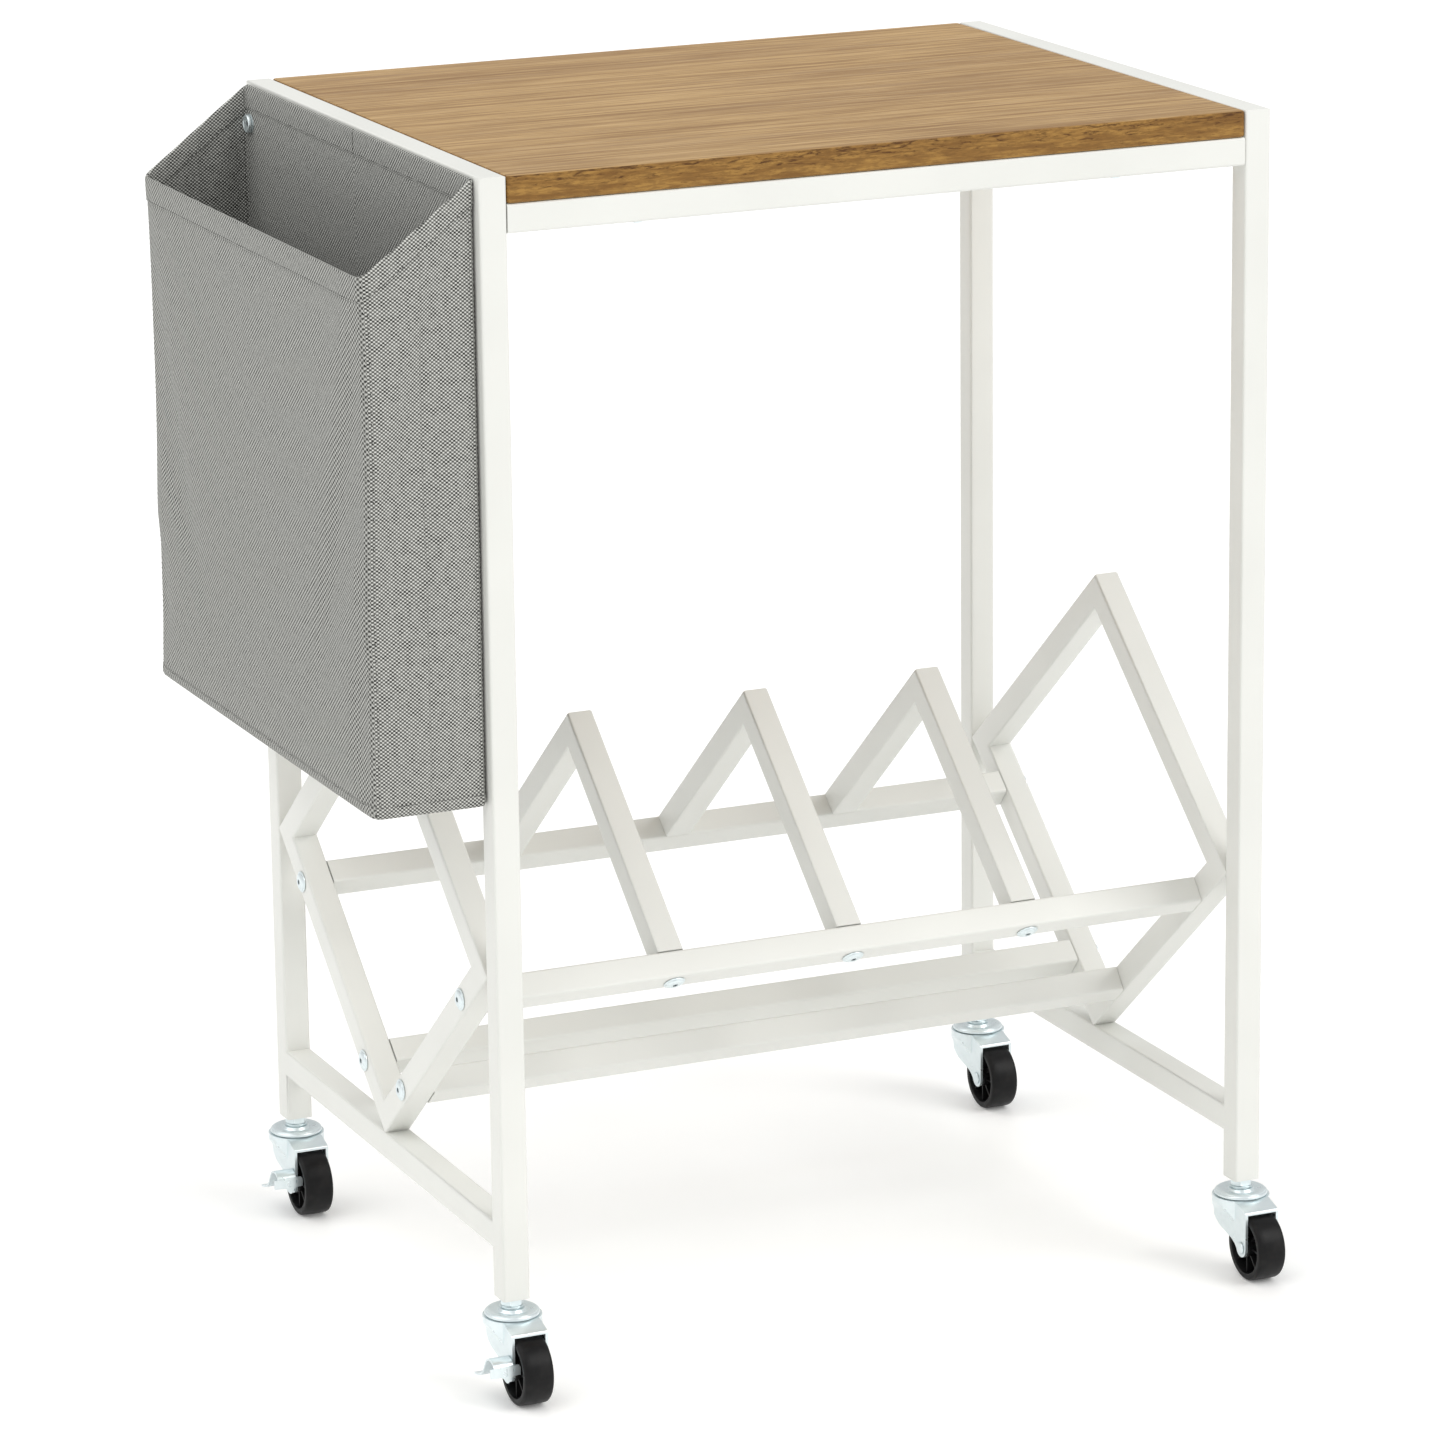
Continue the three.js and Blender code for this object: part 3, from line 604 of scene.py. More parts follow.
def finish_node(node, material, group):
    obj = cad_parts[node]
    obj.data.materials.clear()
    obj.data.materials.append(material)
    weld = obj.modifiers.new("weld", "WELD")
    weld.merge_threshold = 1e-5
    shade = obj.modifiers.new("shade", "NODES")
    shade.node_group = group
    weighted = obj.modifiers.new("flat_shading", "WEIGHTED_NORMAL")
    weighted.keep_sharp = True


group = shading_group()
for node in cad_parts:
    if node.endswith(("side_frame", "rail", "divider")):
        finish_node(node, white, group)
    elif node == "table_top":
        finish_node(node, wood, group)
    elif node.endswith("leg_insert"):
        finish_node(node, plastic, group)


# ---- fasteners --------------------------------------------------------------------------------


def rack_head(radius):
    """Section of a wide head: a thin flange with a low dome on it."""
    dome = [(0.84 - 0.10 * i, 0.42 + 0.58 * math.sin(math.pi / 2 * (i + 1) / 5)) for i in range(5)]
    rim = [(0.98, 0), (1, 0.06), (1, 0.27), (0.97, 0.35), (0.87, 0.39)]
    return [(radius * a, HEAD_HEIGHT * b) for a, b in (*rim, *dome, (0, 1))]


def pocket_head(radius):
    """Section of a flat head with a sunk face inside a raised rim."""
    points = [
        (0.96, 0), (1, 0.08), (1, 0.72), (0.94, 0.93), (0.88, 1), (0.80, 1), (0.72, 0.82), (0.54, 0.58),
        (0, 0.52),
    ]
    return [(radius * a, HEAD_HEIGHT * b) for a, b in points]


def bolt_piece(name, length, head):
    """A bolt with its head's underside at the origin, its head at +Z and a hex socket whose inside is painted
    dark as shade.
    """
    tip = [(0, -length), (SHANK_RADIUS * 0.8, -length), (SHANK_RADIUS, -length + 0.8 * MM), (SHANK_RADIUS, 0)]
    obj = lathe(name, [*tip, *head], 40, zinc, 1)
    hexagon = arc((0, 0), SOCKET_RADIUS, 0, 300, 5)
    floor = HEAD_HEIGHT - SOCKET_DEPTH
    combine(obj, prism("socket", hexagon, floor, 2 * HEAD_HEIGHT, "XYZ", zinc, 1), "DIFFERENCE")
    # Painted shade: the socket's walls and floor take the near-black material, standing in for the shade
    # inside it.
    obj.data.materials.append(socket_shade_material)
    for polygon in obj.data.polygons:
        at = polygon.center
        if math.hypot(at.x, at.y) < SOCKET_RADIUS and at.z > floor - 0.01 * MM and len(polygon.vertices) < 8:
            polygon.material_index = 1 if at.z < HEAD_HEIGHT * 0.97 else 0
    smooth(obj, 38)
    return obj


def point_along(obj, direction):
    obj.rotation_mode = "QUATERNION"
    obj.rotation_quaternion = Vector((0, 0, 1)).rotation_difference(direction)


def side_bolt(node, side):
    """One bolt along X whose head is at the left (-1) or the right (1)."""
    low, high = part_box(node)
    radius = (high.z - low.z) / 2 / POLYGON_REACH
    head = pocket_head(radius) if node.startswith("top_bolt_left") else rack_head(radius)
    obj = bolt_piece(node + "_visual", high.x - low.x - HEAD_HEIGHT, head)
    point_along(obj, Vector((side, 0, 0)))
    centre = (low + high) / 2
    under = high.x - HEAD_HEIGHT if side > 0 else low.x + HEAD_HEIGHT
    put(obj, (under, centre.y, centre.z), "frame", "zinc", node)
    return obj


def divider_bolts():
    """The bolts up through the upper rack rails, square to the rails' faces."""
    for end, sign in (("front", -1), ("rear", 1)):
        upper = middle(f"{end}_upper_rack_rail")
        lower = middle(f"{end}_lower_rack_rail")
        along = (upper - lower).normalized()
        outward = Vector((0, along.z * sign, -along.y * sign))
        outward = outward if outward.z < 0 else -outward
        template = bolt_piece(f"divider_bolt_{end}_1_visual", DIVIDER_BOLT, rack_head(RACK_HEAD_RADIUS))
        for i, divider in enumerate(("left", "middle", "right"), 1):
            name = f"divider_bolt_{end}_{i}"
            obj = template if i == 1 else copy_of(template, name + "_visual")
            point_along(obj, outward)
            centre = Vector((middle(f"{divider}_divider").x, upper.y, upper.z))
            put(obj, centre + outward * DIVIDER_BOLT_REACH, "frame", "zinc", name)


def board_screws():
    profile = [
        (0, -32), (1.1, -30), (1.9, -25), (2, 0), (3.6, 0), (4, 0.4), (3.6, 1.3), (2.2, 1.9), (0, 2),
    ]
    template = lathe("board_screw_template", profile, 28, zinc)
    cross = []
    for turn in range(4):
        angle = math.radians(90 * turn)
        cosine, sine = math.cos(angle), math.sin(angle)
        for x, y in ((1.9, -0.35), (1.9, 0.35), (0.35, 0.35)):
            cross.append((x * cosine - y * sine, x * sine + y * cosine))
    combine(template, prism("cross", cross, 1.0, 4, "XYZ", zinc), "DIFFERENCE")
    smooth(template, 38)
    for end in ("front", "rear"):
        for side in ("left", "right"):
            node = f"board_screw_{end}_{side}"
            obj = copy_of(template, node + "_visual")
            obj.rotation_euler = (math.pi, 0, 0)
            low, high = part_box(node)
            place = ((low.x + high.x) / 2, (low.y + high.y) / 2, low.z + 2 * MM)
            put(obj, place, "frame", "zinc", node)
    bpy.data.objects.remove(template)


def washers():
    profile = [(3.3, 0), (6.8, 0), (7, 0.25), (6.9, 0.9), (6.4, 1.2), (3.6, 1.2), (3.3, 0.9)]
    for end in ("front", "rear"):
        node = f"pocket_washer_{end}"
        obj = ring_lathe(node + "_visual", profile, 40, zinc)
        smooth(obj, 38)
        point_along(obj, Vector((-1, 0, 0)))
        low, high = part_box(node)
        place = (high.x, (low.y + high.y) / 2, (low.z + high.z) / 2)
        put(obj, place, "frame", "zinc", node)


for i in range(1, 5):
    side_bolt(f"rack_bolt_left_{i}", -1)
    side_bolt(f"rack_bolt_right_{i}", 1)
for end in ("front", "rear"):
    side_bolt(f"top_bolt_left_{end}", -1)
    side_bolt(f"top_bolt_right_{end}", 1)
divider_bolts()
board_screws()
washers()


# ---- casters -----------------------------------------------------------------------------------


def stem_template():
    """Stem, hex nut, dished cap over the bearing and the riveted pin below it."""
    profile = [
        (0, STEM_TOP), (3.4, STEM_TOP), (4, STEM_TOP - 0.6), (4, -1), (6.6, -1), (6.6, -5.2), (8.1, -5.3),
        (8.7, -5.6),
        (8.7, -6.2), (8.1, -6.5), (6.9, -6.6), (6.9, -7.4), (9.0, -7.6), (9.5, -8.1), (9.7, -8.9),
        (10.4, -9.6), (11.6, -9.8), (13.2, -9.3), (14.8, -8.7), (16.2, -8.4), (17.3, -8.5), (18.0, -8.9),
        (18.2, -9.4), (18.5, -9.4), (18.9, -9.6), (19.3, -10.3), (19.5, -11.0), (19.4, -11.7),
        (19.0, -12.0), (17.5, -12.1), (4.1, -12.1), (4, -15.1), (6.1, -15.1), (6.5, -15.5), (6.1, -16.2),
        (4.2, -16.5), (0, -16.5),
    ]
    obj = lathe("stem_template", profile, 56, zinc)
    nut = prism("nut", arc((0, 0), NUT_REACH, 0, 300, 5), -5.1, -0.3, "XYZ", zinc)
    cone = [(0, -5.1), (7.4, -5.1), (NUT_REACH, -4.5), (NUT_REACH, -0.9), (7.4, -0.3), (0, -0.3)]
    combine(nut, lathe("cone", cone, 48, zinc), "INTERSECT")
    combine(obj, nut, "UNION")
    smooth(obj, 35)
    return obj


def fork_side():
    """Side outline (y, z) of the fork: sloping lip, front edge, rounded tip and full sweep behind."""
    front = -TRAIL - TIP_RADIUS
    nose = [(LIP_END, LIP_END_Z), (front + 0.5, LIP_END_Z - 0.7), (front, LIP_END_Z - 2)]
    tip = arc((-TRAIL, AXLE_Z), TIP_RADIUS, 180, 342, 14)
    sweep = smooth_line([
        (-16.2, -44.6), (-12, -42.4), (-7, -40.9), (0, -39.3), (8, -37), (14, -33.4), (18.2, -28.5),
        (20.3, -23), (CUP_RADIUS, -17),
    ], 3)
    return [(CUP_RADIUS, FORK_TOP), (LIP_START, FORK_TOP), *nose, *tip, *sweep]


def fork_half_width(z):
    """Half the fork's width at a height: the cup's radius above, easing in to the cheeks."""
    t = min(max((WAIST_TOP - z) / WAIST_DROP, 0), 1)
    return CHEEK + (CUP_RADIUS - CHEEK) * (0.5 + 0.5 * math.cos(math.pi * t))


def fork_template():
    """The pressed fork: a cup that runs out into a lip and two cheeks."""
    reach = 3 * CUP_RADIUS
    obj = prism("fork_template", fork_side(), -CUP_RADIUS, CUP_RADIUS, "YZX", zinc)
    start = math.degrees(math.acos(CHEEK / CUP_RADIUS))
    front = -TRAIL - 2 * TIP_RADIUS
    plan = [(-CHEEK, front), (CHEEK, front), *arc((0, 0), CUP_RADIUS, -start, 180 + start, 32)]
    combine(obj, prism("plan", plan, -CASTER_HEIGHT, 0, "XYZ", zinc), "INTERSECT")
    heights = [WAIST_TOP - WAIST_DROP * i / 10 for i in range(11)]
    right = [(fork_half_width(z), z) for z in heights]
    face = [(CHEEK, -CASTER_HEIGHT), *reversed(right), (CUP_RADIUS, 0)]
    face += [(-x, z) for x, z in reversed(face)]
    combine(obj, prism("face", face, -reach, reach, "XZY", zinc), "INTERSECT")
    inside = CHEEK - SHEET
    top = FORK_TOP - SHEET
    slope = (LIP_END_Z - FORK_TOP) / (LIP_END - LIP_START)
    room = [(2 * CUP_RADIUS, top), (LIP_START, top), (front, top + slope * (front - LIP_START)),
            (front, -CASTER_HEIGHT), (2 * CUP_RADIUS, -CASTER_HEIGHT)]
    combine(obj, prism("room", room, -inside, inside, "YZX", zinc), "DIFFERENCE")
    pin_hole = prism("pin_hole", arc((0, 0), PIN_HOLE, 0, 345, 23), -reach, reach, "XYZ", zinc)
    combine(obj, pin_hole, "DIFFERENCE")
    axle_hole = prism("axle_hole", arc((-TRAIL, AXLE_Z), AXLE_HOLE, 0, 340, 17), -reach, reach, "YZX", zinc)
    combine(obj, axle_hole, "DIFFERENCE")
    ease_edges(obj, 0.7 * MM, 3, 38)
    return obj


def wheel_template():
    """The wheel about its axle, which lies along Z here: crowned tread, recessed sides, hub and spokes."""
    shoulder = arc((22.0, 8.2), 2.8, 85, 12, 5)
    outer = [*shoulder, (24.9, 5), (24.98, 1.2), (25, 0.35)]
    upper = [(3.3, 10.6), (6.4, 10.6), (6.9, 10.1), (7.3, 3.0), (18.6, 2.6), (19.2, 9.8), (19.6, 10.8)]
    upper += [(r, min(z, 11)) for r, z in outer]
    profile = [(r, -z) for r, z in reversed(upper)]
    obj = ring_lathe("wheel_template", [*upper, *profile], 72, black)
    for i in range(SPOKES):
        rib = prism("rib", [(6.8, -0.6), (19.2, -0.6), (19.2, 0.6), (6.8, 0.6)], -8.4, 8.4, "XYZ", black)
        rib.data.transform(Matrix.Rotation(2 * math.pi * i / SPOKES, 4, "Z"))
        combine(obj, rib, "UNION")
    smooth(obj, 38)
    obj.data.transform(Matrix.Rotation(math.pi / 2, 4, "Y"))
    return obj


def axle_template(name, left, right):
    """The axle along X with a domed rivet head at each end, from left to right in millimetres."""
    profile = [
        (0, left), (3, left), (4.2, left + 0.35), (4.6, left + 0.9), (4.6, left + 1.4), (2.95, left + 1.4),
        (2.95, right - 1.4), (4.6, right - 1.4), (4.6, right - 0.9), (4.2, right - 0.35), (3, right),
        (0, right),
    ]
    obj = lathe(name, profile, 32, zinc)
    obj.data.transform(Matrix.Rotation(math.pi / 2, 4, "Y"))
    smooth(obj, 42)
    return obj


def lever_template():
    """The brake lever about the axle: an arched strip with a toe tab, a front plate and an ear."""
    path = smooth_line([
        (-9.8, 0.8), (-9.8, 6), (-8.5, 9.3), (-4.9, 11.2), (-0.7, 11.5), (3.6, 9.9),
        (7.4, 5.2), (10.8, -0.3), (15.3, -4.3), (21, -6.4), (27.5, -7.7),
    ], 4)
    obj = prism("lever_template", thicken(path, LEVER_SHEET), -LEVER_OUTER, -LEVER_INNER, "YZX", zinc)
    plate = [
        (-31.2, 7.8), (-31.2, 0.9), (-23.4, 0.6), *bend((-23.4, 0.6), (-21.4, 0.2), (-20.3, -2.6), 4),
        *bend((-20.3, -2.6), (-18.6, -5.6), (-16.9, -2.6), 5),
        *bend((-16.9, -2.6), (-15.8, 0.2), (-13.4, 0.6), 4),
        (-8.9, 1), (-8.9, 6.4), (-10, 8.2), (-13.5, 8.4),
    ]
    face = -9.8 - LEVER_SHEET / 2
    combine(obj, prism("plate", plate, face, face + LEVER_SHEET, "XZY", zinc), "UNION")
    ear = [(-6.2, 0), (-4.4, -4.4), (0, -6.2), (4.4, -4.4), (6.2, 0), (3.4, 9.2), (-6.4, 9.4)]
    combine(obj, prism("ear", ear, -LEVER_INNER - LEVER_SHEET, -LEVER_INNER, "YZX", zinc), "UNION")
    for x0, x1, z0, z1 in ((-19.6, -18.6, 1.2, 6.4), (-14.2, -13.2, 4.2, 6.6)):
        slit = prism("slit", [(x0, z0), (x1, z0), (x1, z1), (x0, z1)], face - 1, face + 3, "XZY", zinc)
        combine(obj, slit, "DIFFERENCE")
    hole = prism("hole", arc((0, 0), AXLE_HOLE, 0, 340, 17), -2 * LEVER_OUTER, 2 * LEVER_OUTER, "YZX", zinc)
    combine(obj, hole, "DIFFERENCE")
    ease_edges(obj, 0.3 * MM, 2, 40)
    return obj


def casters():
    stem, fork, wheel, lever = stem_template(), fork_template(), wheel_template(), lever_template()
    for corner in CORNERS:
        centre = middle(f"{corner}_caster_stem")
        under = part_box(f"{corner}_caster_stem")[1].z - STEM_TOP * MM
        swivel = Vector((centre.x, centre.y, under))
        body = f"{corner}_caster"
        put(copy_of(stem, f"{corner}_stem_visual"), swivel, "frame", "zinc", f"{corner}_caster_stem")
        put(copy_of(fork, f"{corner}_fork_visual"), swivel, body, "zinc", f"{corner}_fork")
        at_axle = middle(f"{corner}_wheel")
        wheel_name = f"{corner}_wheel"
        put(copy_of(wheel, wheel_name + "_visual"), at_axle, wheel_name, "black_wheel", wheel_name)
        low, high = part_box(f"{corner}_axle")
        ends = [(x - at_axle.x) / MM for x in (low.x, high.x)]
        put(axle_template(f"{corner}_axle_visual", *ends), at_axle, body, "zinc", f"{corner}_axle")
        if corner in BRAKED:
            name = f"{corner}_brake_lever"
            put(copy_of(lever, name + "_visual"), at_axle, f"{corner}_brake", "zinc", name)
    for template in (stem, fork, wheel, lever):
        bpy.data.objects.remove(template)


casters()


# ---- the fabric pocket -------------------------------------------------------------------------

pocket_low, pocket_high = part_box("side_pocket")
path_low = Vector((pocket_low.x + POCKET_INSET, pocket_low.y + POCKET_INSET))
path_high = Vector((pocket_high.x - POCKET_INSET, pocket_high.y - POCKET_INSET))


def rim_height(x):
    """Height of the rim, which slopes down away from the frame."""
    share = (pocket_high.x - x) / (pocket_high.x - pocket_low.x)
    return pocket_high.z - 0.3 * MM - RIM_DROP * share


def side_stations(length, creases):
    """Distances along one straight side, closer together at the creases."""
    count = max(round(length / STATION), 2)
    even = [length * i / count for i in range(count)]
    clear = [d for d in even if all(abs(d - c) > 2.2 * CREASE_WIDTH for c in creases)]
    near = [c + k * CREASE_WIDTH / 2 for c in creases for k in (-2, -1, 0, 1, 2)]
    return sorted({*clear, *near, 0})


def perimeter():
    """The closed path of the cloth seen from above, counter-clockwise from the inner panel's middle:
    a list of (point, outward normal, distance along the cloth, crease depth, is an end panel), and the
    distances of the four corners."""
    x0, y0, x1, y1 = *path_low, *path_high
    near, far = FRAME_CORNER, OUTER_CORNER
    half, width = (y1 - y0) / 2, x1 - x0
    sides = [
        (Vector((x1, (y0 + y1) / 2)), Vector((0, 1)), half - near, [], False, near),
        (Vector((x1 - near, y1)), Vector((-1, 0)), width - near - far, [width / 2 - near], True, far),
        (Vector((x0, y1 - far)), Vector((0, -1)), 2 * half - 2 * far, [], False, far),
        (Vector((x0 + far, y0)), Vector((1, 0)), width - near - far, [width / 2 - far], True, near),
        (Vector((x1, y0 + near)), Vector((0, 1)), half - near, [], False, near),
    ]
    path, corners, done = [], [], 0.0
    for number, (start, along, length, creases, is_end, r) in enumerate(sides):
        outward = Vector((along.y, -along.x))
        for d in side_stations(length, creases):
            depth = sum(max(0, 1 - abs(d - c) / CREASE_WIDTH) for c in creases) * CREASE_DEPTH
            path.append((start + along * d, outward, done + d, depth, is_end))
        done += length
        if number == len(sides) - 1:
            path.append((start + along * length, outward, done, 0.0, is_end))
            break
        turn_centre = start + along * length - outward * r
        corners.append(done + r * math.pi / 4)
        for i in range(CORNER_STEPS):
            angle = math.pi / 2 * i / CORNER_STEPS
            direction = outward * math.cos(angle) + along * math.sin(angle)
            past = abs(abs(angle - math.pi / 4) * r - CORNER_SEAM)
            depth = max(0, 1 - past / CREASE_WIDTH) * CREASE_DEPTH * 0.7
            on_end = is_end if angle < math.pi / 4 else not is_end
            path.append((turn_centre + direction * r, direction, done + r * angle, depth, on_end))
        done += r * math.pi / 2
    return path, corners


path, corners = perimeter()
cloth_length = path[-1][2]


def hang_cloth():
    """Lets a coarse copy of the pocket settle under its own weight, pinned at its foot, its rim and
    along the frame, and returns how far each of its points moved, by station and row."""
    columns, rows = HANG_GRID
    vertices, held = [], []
    for i in range(columns):
        point = station_at(cloth_length * i / columns)[0]
        for j in range(rows + 1):
            z = pocket_low.z + (rim_height(point.x) - pocket_low.z) * j / rows
            vertices.append((point.x, point.y, z))
            against_frame = point.x > path_high.x - PINNED_REACH
            at_rim = RIM_HOLD if j >= rows - 1 else 0.0
            held.append(1.0 if j == 0 or against_frame else at_rim)
    faces = []
    for i in range(columns):
        k = (i + 1) % columns
        for j in range(rows):
            a, b = i * (rows + 1) + j, k * (rows + 1) + j
            faces.append([a, b, b + 1, a + 1])
    obj = make_object("hanging_cloth", vertices, faces, [])
    pins = obj.vertex_groups.new(name="pins")
    for index, weight in enumerate(held):
        if weight:
            pins.add([index], weight, "REPLACE")
    cloth = obj.modifiers.new("hang", "CLOTH")
    cloth.settings.vertex_group_mass = "pins"
    cloth.settings.quality = 8
    cloth.settings.mass = CLOTH_MASS
    cloth.settings.tension_stiffness = CLOTH_STIFFNESS
    cloth.settings.compression_stiffness = CLOTH_STIFFNESS
    cloth.settings.shear_stiffness = CLOTH_SHEAR
    cloth.settings.bending_stiffness = CLOTH_BENDING
    cloth.settings.use_pressure = True
    cloth.settings.uniform_pressure_force = CLOTH_PRESSURE
    scene = bpy.context.scene
    for number in range(1, CLOTH_FRAMES + 1):
        scene.frame_set(number)
    settled = obj.evaluated_get(bpy.context.evaluated_depsgraph_get()).data.vertices
    moves = [Vector(after.co) - Vector(before) for after, before in zip(settled, vertices)]
    bpy.data.objects.remove(obj)
    scene.frame_set(1)
    limited = [m * min(1, CLOTH_LIMIT / max(m.length, 1e-9)) for m in moves]
    return [limited[i * (rows + 1):(i + 1) * (rows + 1)] for i in range(columns)]


def station_at(distance):
    """Point, outward normal and crease depth at any distance along the cloth."""
    for before, after in zip(path, path[1:]):
        if distance <= after[2]:
            t = (distance - before[2]) / max(after[2] - before[2], 1e-9)
            return before[0].lerp(after[0], t), before[1].lerp(after[1], t).normalized(), before[3]
    return path[-1][0], path[-1][1], 0.0


settling = hang_cloth()


def settled_by(distance, share):
    """How far the cloth has moved at a distance along it and a share of its height."""
    if settling is None:
        return Vector((0, 0, 0))
    columns, rows = len(settling), len(settling[0]) - 1
    a = distance / cloth_length * columns
    b = min(max(share, 0), 1) * rows
    i, j = int(a), min(int(b), rows - 1)
    near, far = settling[i % columns], settling[(i + 1) % columns]
    return near[j].lerp(near[j + 1], b - j).lerp(far[j].lerp(far[j + 1], b - j), a - i)


def cloth_point(station, z, offset):
    """A point on the settled cloth, offset outward from its middle."""
    point, normal, distance, depth = station[:4]  # any further value says which panel it is
    share = (z - pocket_low.z) / (rim_height(point.x) - pocket_low.z)
    at = point + normal * (offset - depth)
    return Vector((at.x, at.y, z)) + settled_by(distance, share)


def flat_map(obj, coordinates):
    """Gives each face corner its place on the flat cloth, in metres."""
    layer = obj.data.uv_layers.new(name="UVMap")
    for loop in obj.data.loops:
        layer.data[loop.index].uv = coordinates[loop.vertex_index]


def set_panels(obj, is_end):
    for polygon in obj.data.polygons:
        polygon.material_index = 1 if all(is_end[v] for v in polygon.vertices) else 0


def pocket_wall():
    """The band of cloth round the pocket, rounded in at its foot."""
    vertices, flat, is_end, faces = [], [], [], []
    foot = [(FOOT_ROUND * (1 - math.sin(math.radians(a))), FOOT_ROUND * (1 - math.cos(math.radians(a))))
            for a in (0, 30, 60)]
    for station in path:
        point, distance, end = station[0], station[2], station[4]
        top = rim_height(point.x) - 1.2 * MM
        low = pocket_low.z + CLOTH / 2
        heights = [(inset, low + rise) for inset, rise in foot]
        start = low + FOOT_ROUND
        heights += [(0, start + (top - start) * j / ROWS) for j in range(ROWS + 1)]
        for inset, z in heights:
            vertices.append(cloth_point(station, z, -inset))
            flat.append((distance, z - pocket_low.z))
            is_end.append(end)
    rows = len(foot) + ROWS
    columns = len(path) - 1
    for i in range(columns):
        for j in range(rows):
            a, b = i * (rows + 1) + j, (i + 1) * (rows + 1) + j
            faces.append([a, b, b + 1, a + 1])
    obj = make_object("pocket_wall", vertices, faces, [panel_fabric, end_fabric])
    set_panels(obj, is_end)
    flat_map(obj, flat)
    thick = obj.modifiers.new("cloth_thickness", "SOLIDIFY")
    thick.thickness = CLOTH
    thick.offset = 0
    apply_modifiers(obj)
    smooth(obj, 50)
    return obj


def band(name, section, base, gap):
    """A closed strip of cloth swept round the pocket, from a section of (offset, height above base)
    points. Its two ends meet, with a gap, at the middle of the inner panel."""
    vertices, flat, is_end, faces = [], [], [], []
    stations = list(path)
    first, last = stations[0], stations[-1]
    stations[0] = (first[0] + Vector((0, gap / 2)), *first[1:])
    stations[-1] = (last[0] - Vector((0, gap / 2)), *last[1:])
    count = len(section)
    for station in stations:
        for offset, rise in section:
            z = base(station[0].x) + rise
            vertices.append(cloth_point(station, z, offset))
            flat.append((station[2], z - pocket_low.z))
            is_end.append(station[4])
    for i in range(len(stations) - 1):
        for j in range(count):
            k = (j + 1) % count
            faces.append([i * count + j, (i + 1) * count + j, (i + 1) * count + k, i * count + k])
    faces += [list(range(count)), list(range((len(stations) - 1) * count, len(stations) * count))]
    obj = make_object(name, vertices, faces, [panel_fabric, end_fabric])
    set_panels(obj, is_end)
    flat_map(obj, flat)
    face_outward(obj)
    smooth(obj, 60)
    return obj


def top_hem():
    """The rim: the cloth folded over and sewn down inside and outside."""
    half = CLOTH / 2
    proud = half + HEM_PROUD
    inner = half - 0.1 * MM
    section = [
        (inner, -HEM), (proud - 0.15 * MM, -HEM), (proud, -HEM + 0.4 * MM), (proud - 0.12 * MM, -STITCH_DROP),
        (proud, -STITCH_DROP + 1.4 * MM), (proud, -2.2 * MM), (proud - 0.25 * MM, -0.9 * MM),
        (proud - 0.75 * MM, -0.2 * MM), (0, 0), (0.75 * MM - proud, -0.2 * MM),
        (0.25 * MM - proud, -0.9 * MM), (-proud, -2.2 * MM), (-proud, -STITCH_DROP + 1.4 * MM),
        (0.12 * MM - proud, -STITCH_DROP), (-proud, -HEM + 0.4 * MM), (0.15 * MM - proud, -HEM),
        (-inner, -HEM), (-inner, -1.4 * MM), (inner, -1.4 * MM),
    ]
    return band("pocket_top_hem", section, rim_height, HEM_GAP)


def foot_hem():
    """The foot: the wall sewn to the bottom panel, doubled on the outside."""
    half = CLOTH / 2
    proud = half + FOOT_HEM_PROUD
    r = FOOT_ROUND
    section = [
        (half - 0.1 * MM, FOOT_HEM), (proud - 0.1 * MM, FOOT_HEM), (proud, FOOT_HEM - 0.5 * MM),
        (proud - 0.12 * MM, FOOT_STITCH_RISE), (proud, FOOT_STITCH_RISE - 1.2 * MM), (proud, r),
        (proud - 0.3 * r, 0.3 * r), (proud - r, 0), (half - r, 0.6 * MM),
        (half - 0.35 * r, 0.45 * r), (half - 0.1 * MM, r + 0.5 * MM),
    ]
    return band("pocket_foot_hem", section, lambda x: pocket_low.z, 0.5 * MM)


def bottom_panel():
    """The flat cloth under the pocket, inside the foot hem."""
    outline = [station[0] - station[1] * FOOT_ROUND * 0.6 for station in path[:-1]]
    count = len(outline)
    centre_line = (path_low.x + path_high.x) / 2
    vertices = [(p.x, p.y, pocket_low.z + 0.25 * MM) for p in outline]
    vertices += [(p.x, p.y, pocket_low.z + 0.25 * MM + CLOTH) for p in outline]
    faces = [list(range(count)), list(range(count, 2 * count))]
    faces += [[i, (i + 1) % count, count + (i + 1) % count, count + i] for i in range(count)]
    obj = make_object("pocket_bottom", vertices, faces, [panel_fabric])
    flat_map(obj, [(v[0] - centre_line, v[1]) for v in vertices])
    face_outward(obj)
    return obj


def base_board():
    """The stiff board in the pocket's bottom, covered with the same cloth."""
    low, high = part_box("pocket_base_board")
    obj = prism("pocket_base_cover", [(low.x, low.y), (high.x, low.y), (high.x, high.y), (low.x, high.y)],
                low.z, high.z, "XYZ", panel_fabric, 1)
    flat_map(obj, [(v.co.x, v.co.y) for v in obj.data.vertices])
    modifier = obj.modifiers.new("rounded", "BEVEL")
    modifier.width = 1.2 * MM
    modifier.segments = 3
    apply_modifiers(obj)
    smooth(obj, 50)
    return obj


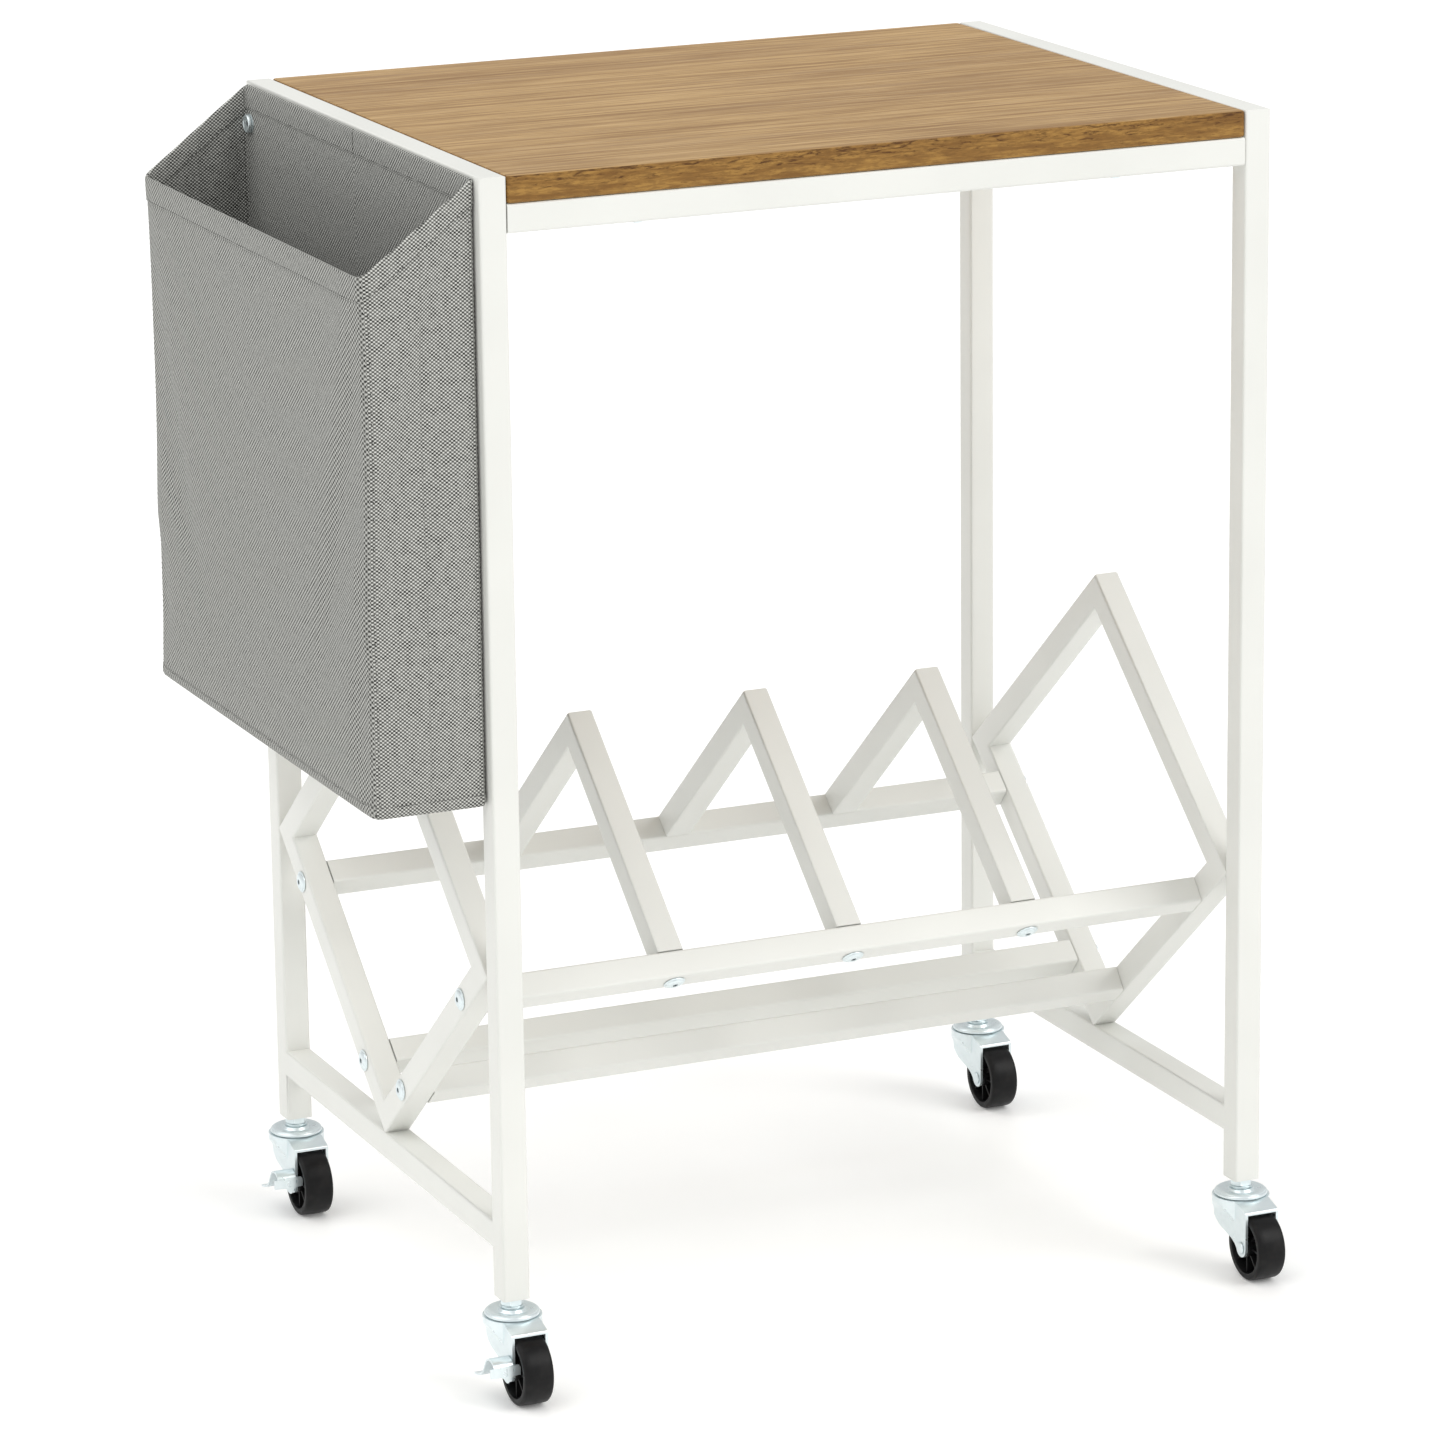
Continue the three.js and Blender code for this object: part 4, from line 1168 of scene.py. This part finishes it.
def stitch(at, along, outward, length, width):
    """One stitch as a small closed lozenge."""
    across = along.cross(outward)
    half, wide, high = length / 2, width / 2, width * 0.4
    points = [
        at - along * half, at - along * half * 0.6 + across * wide, at + along * half * 0.6 + across * wide,
        at + along * half, at + along * half * 0.6 - across * wide, at - along * half * 0.6 - across * wide,
        at - along * half * 0.5 + outward * high, at + along * half * 0.5 + outward * high,
    ]
    faces = [[5, 4, 3, 2, 1, 0], [0, 1, 6], [1, 2, 7, 6], [2, 3, 7], [3, 4, 7], [4, 5, 6, 7], [5, 0, 6]]
    return points, faces


def stitching():
    """The sewn lines: round the rim inside and outside, round the foot, and up the corners."""
    vertices, faces = [], []

    def sew(at, along, outward, length=STITCH_LENGTH, width=STITCH_WIDTH):
        points, sides = stitch(at, along, outward, length, width)
        faces.extend([[len(vertices) + k for k in side] for side in sides])
        vertices.extend(points)

    proud = CLOTH / 2 + HEM_PROUD - 0.14 * MM
    foot_proud = CLOTH / 2 + FOOT_HEM_PROUD - 0.14 * MM
    count = round(cloth_length / STITCH_PITCH)
    for i in range(count):
        distance = cloth_length * (i + 0.5) / count
        point, normal, depth = station_at(distance)
        station = (point, normal, distance, depth)
        ahead_point = station_at(min(distance + STITCH_PITCH / 2, cloth_length))[0]
        outward = Vector((normal.x, normal.y, 0))
        z = rim_height(point.x) - STITCH_DROP
        rise = rim_height(ahead_point.x) - rim_height(point.x)
        flat_along = Vector((-normal.y, normal.x, 0))
        along = (flat_along + Vector((0, 0, 1)) * rise / (STITCH_PITCH / 2)).normalized()
        sew(cloth_point(station, z, proud), along, outward)
        sew(cloth_point(station, z, -proud), along, -outward)
        sew(cloth_point(station, pocket_low.z + FOOT_STITCH_RISE, foot_proud), flat_along, outward)
    for corner in corners:
        for shift in (-CORNER_SEAM, CORNER_SEAM):
            point, normal, depth = station_at(corner + shift)
            station = (point, normal, corner + shift, depth)
            outward = Vector((normal.x, normal.y, 0))
            low, high = pocket_low.z + FOOT_HEM, rim_height(point.x) - HEM
            start = 0.5 if shift > 0 else 1
            for i in range(int((high - low) / SEAM_PITCH)):
                z = low + (i + start) * SEAM_PITCH
                for side in (1, -1):
                    at = cloth_point(station, z, side * (CLOTH / 2 - 0.1 * MM))
                    sew(at, Vector((0, 0, 1)), side * outward, SEAM_DOT, SEAM_DOT * 0.85)
    obj = make_object("pocket_stitching", vertices, faces, [thread])
    face_outward(obj)
    smooth(obj, 60)
    return obj


wall = pocket_wall()
hem = top_hem()
foot = foot_hem()
bottom = bottom_panel()
base = base_board()
stitches = stitching()
for piece in (wall, hem, foot, bottom, base, stitches):
    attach(piece, "frame")
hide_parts("side_pocket")
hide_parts("pocket_base_board")


# ---- floor, light and camera ---------------------------------------------------------------


def studio():
    half = FLOOR_SIZE / 2
    corners = [(-half, -half, 0), (half, -half, 0), (half, half, 0), (-half, half, 0)]
    floor = make_object("studio_floor", corners, [[0, 1, 2, 3]], [floor_paint()])
    world = bpy.data.worlds.new("studio")
    world.use_nodes = True
    sky = world.node_tree.nodes["Background"]
    sky.inputs["Color"].default_value = (1, 1, 1, 1)
    sky.inputs["Strength"].default_value = SKY_STRENGTH
    bpy.context.scene.world = world
    for name, strength, angle, source in SUNS:
        light = bpy.data.lights.new(name, "SUN")
        light.energy = strength
        light.angle = math.radians(angle)
        light.color = (1, 0.995, 0.98)
        sun = bpy.data.objects.new(name, light)
        sun.rotation_mode = "QUATERNION"
        sun.rotation_quaternion = (-Vector(source)).to_track_quat("-Z", "Y")
        bpy.context.scene.collection.objects.link(sun)
    bpy.context.scene.view_settings.view_transform = "Standard"


def camera():
    data = bpy.data.cameras.new("camera")
    data.sensor_width = SENSOR
    data.lens = LENS
    data.clip_end = 2 * FLOOR_SIZE
    obj = bpy.data.objects.new("camera", data)
    azimuth, elevation = math.radians(CAMERA_AZIMUTH), math.radians(CAMERA_ELEVATION)
    back = Vector((
        math.sin(azimuth) * math.cos(elevation),
        -math.cos(azimuth) * math.cos(elevation),
        math.sin(elevation),
    ))
    roll = Quaternion((0, 0, 1), math.radians(CAMERA_ROLL))
    obj.rotation_mode = "QUATERNION"
    obj.rotation_quaternion = (-back).to_track_quat("-Z", "Y") @ roll
    obj.location = CAMERA_PLACE
    bpy.context.scene.collection.objects.link(obj)
    bpy.context.scene.camera = obj


studio()
camera()
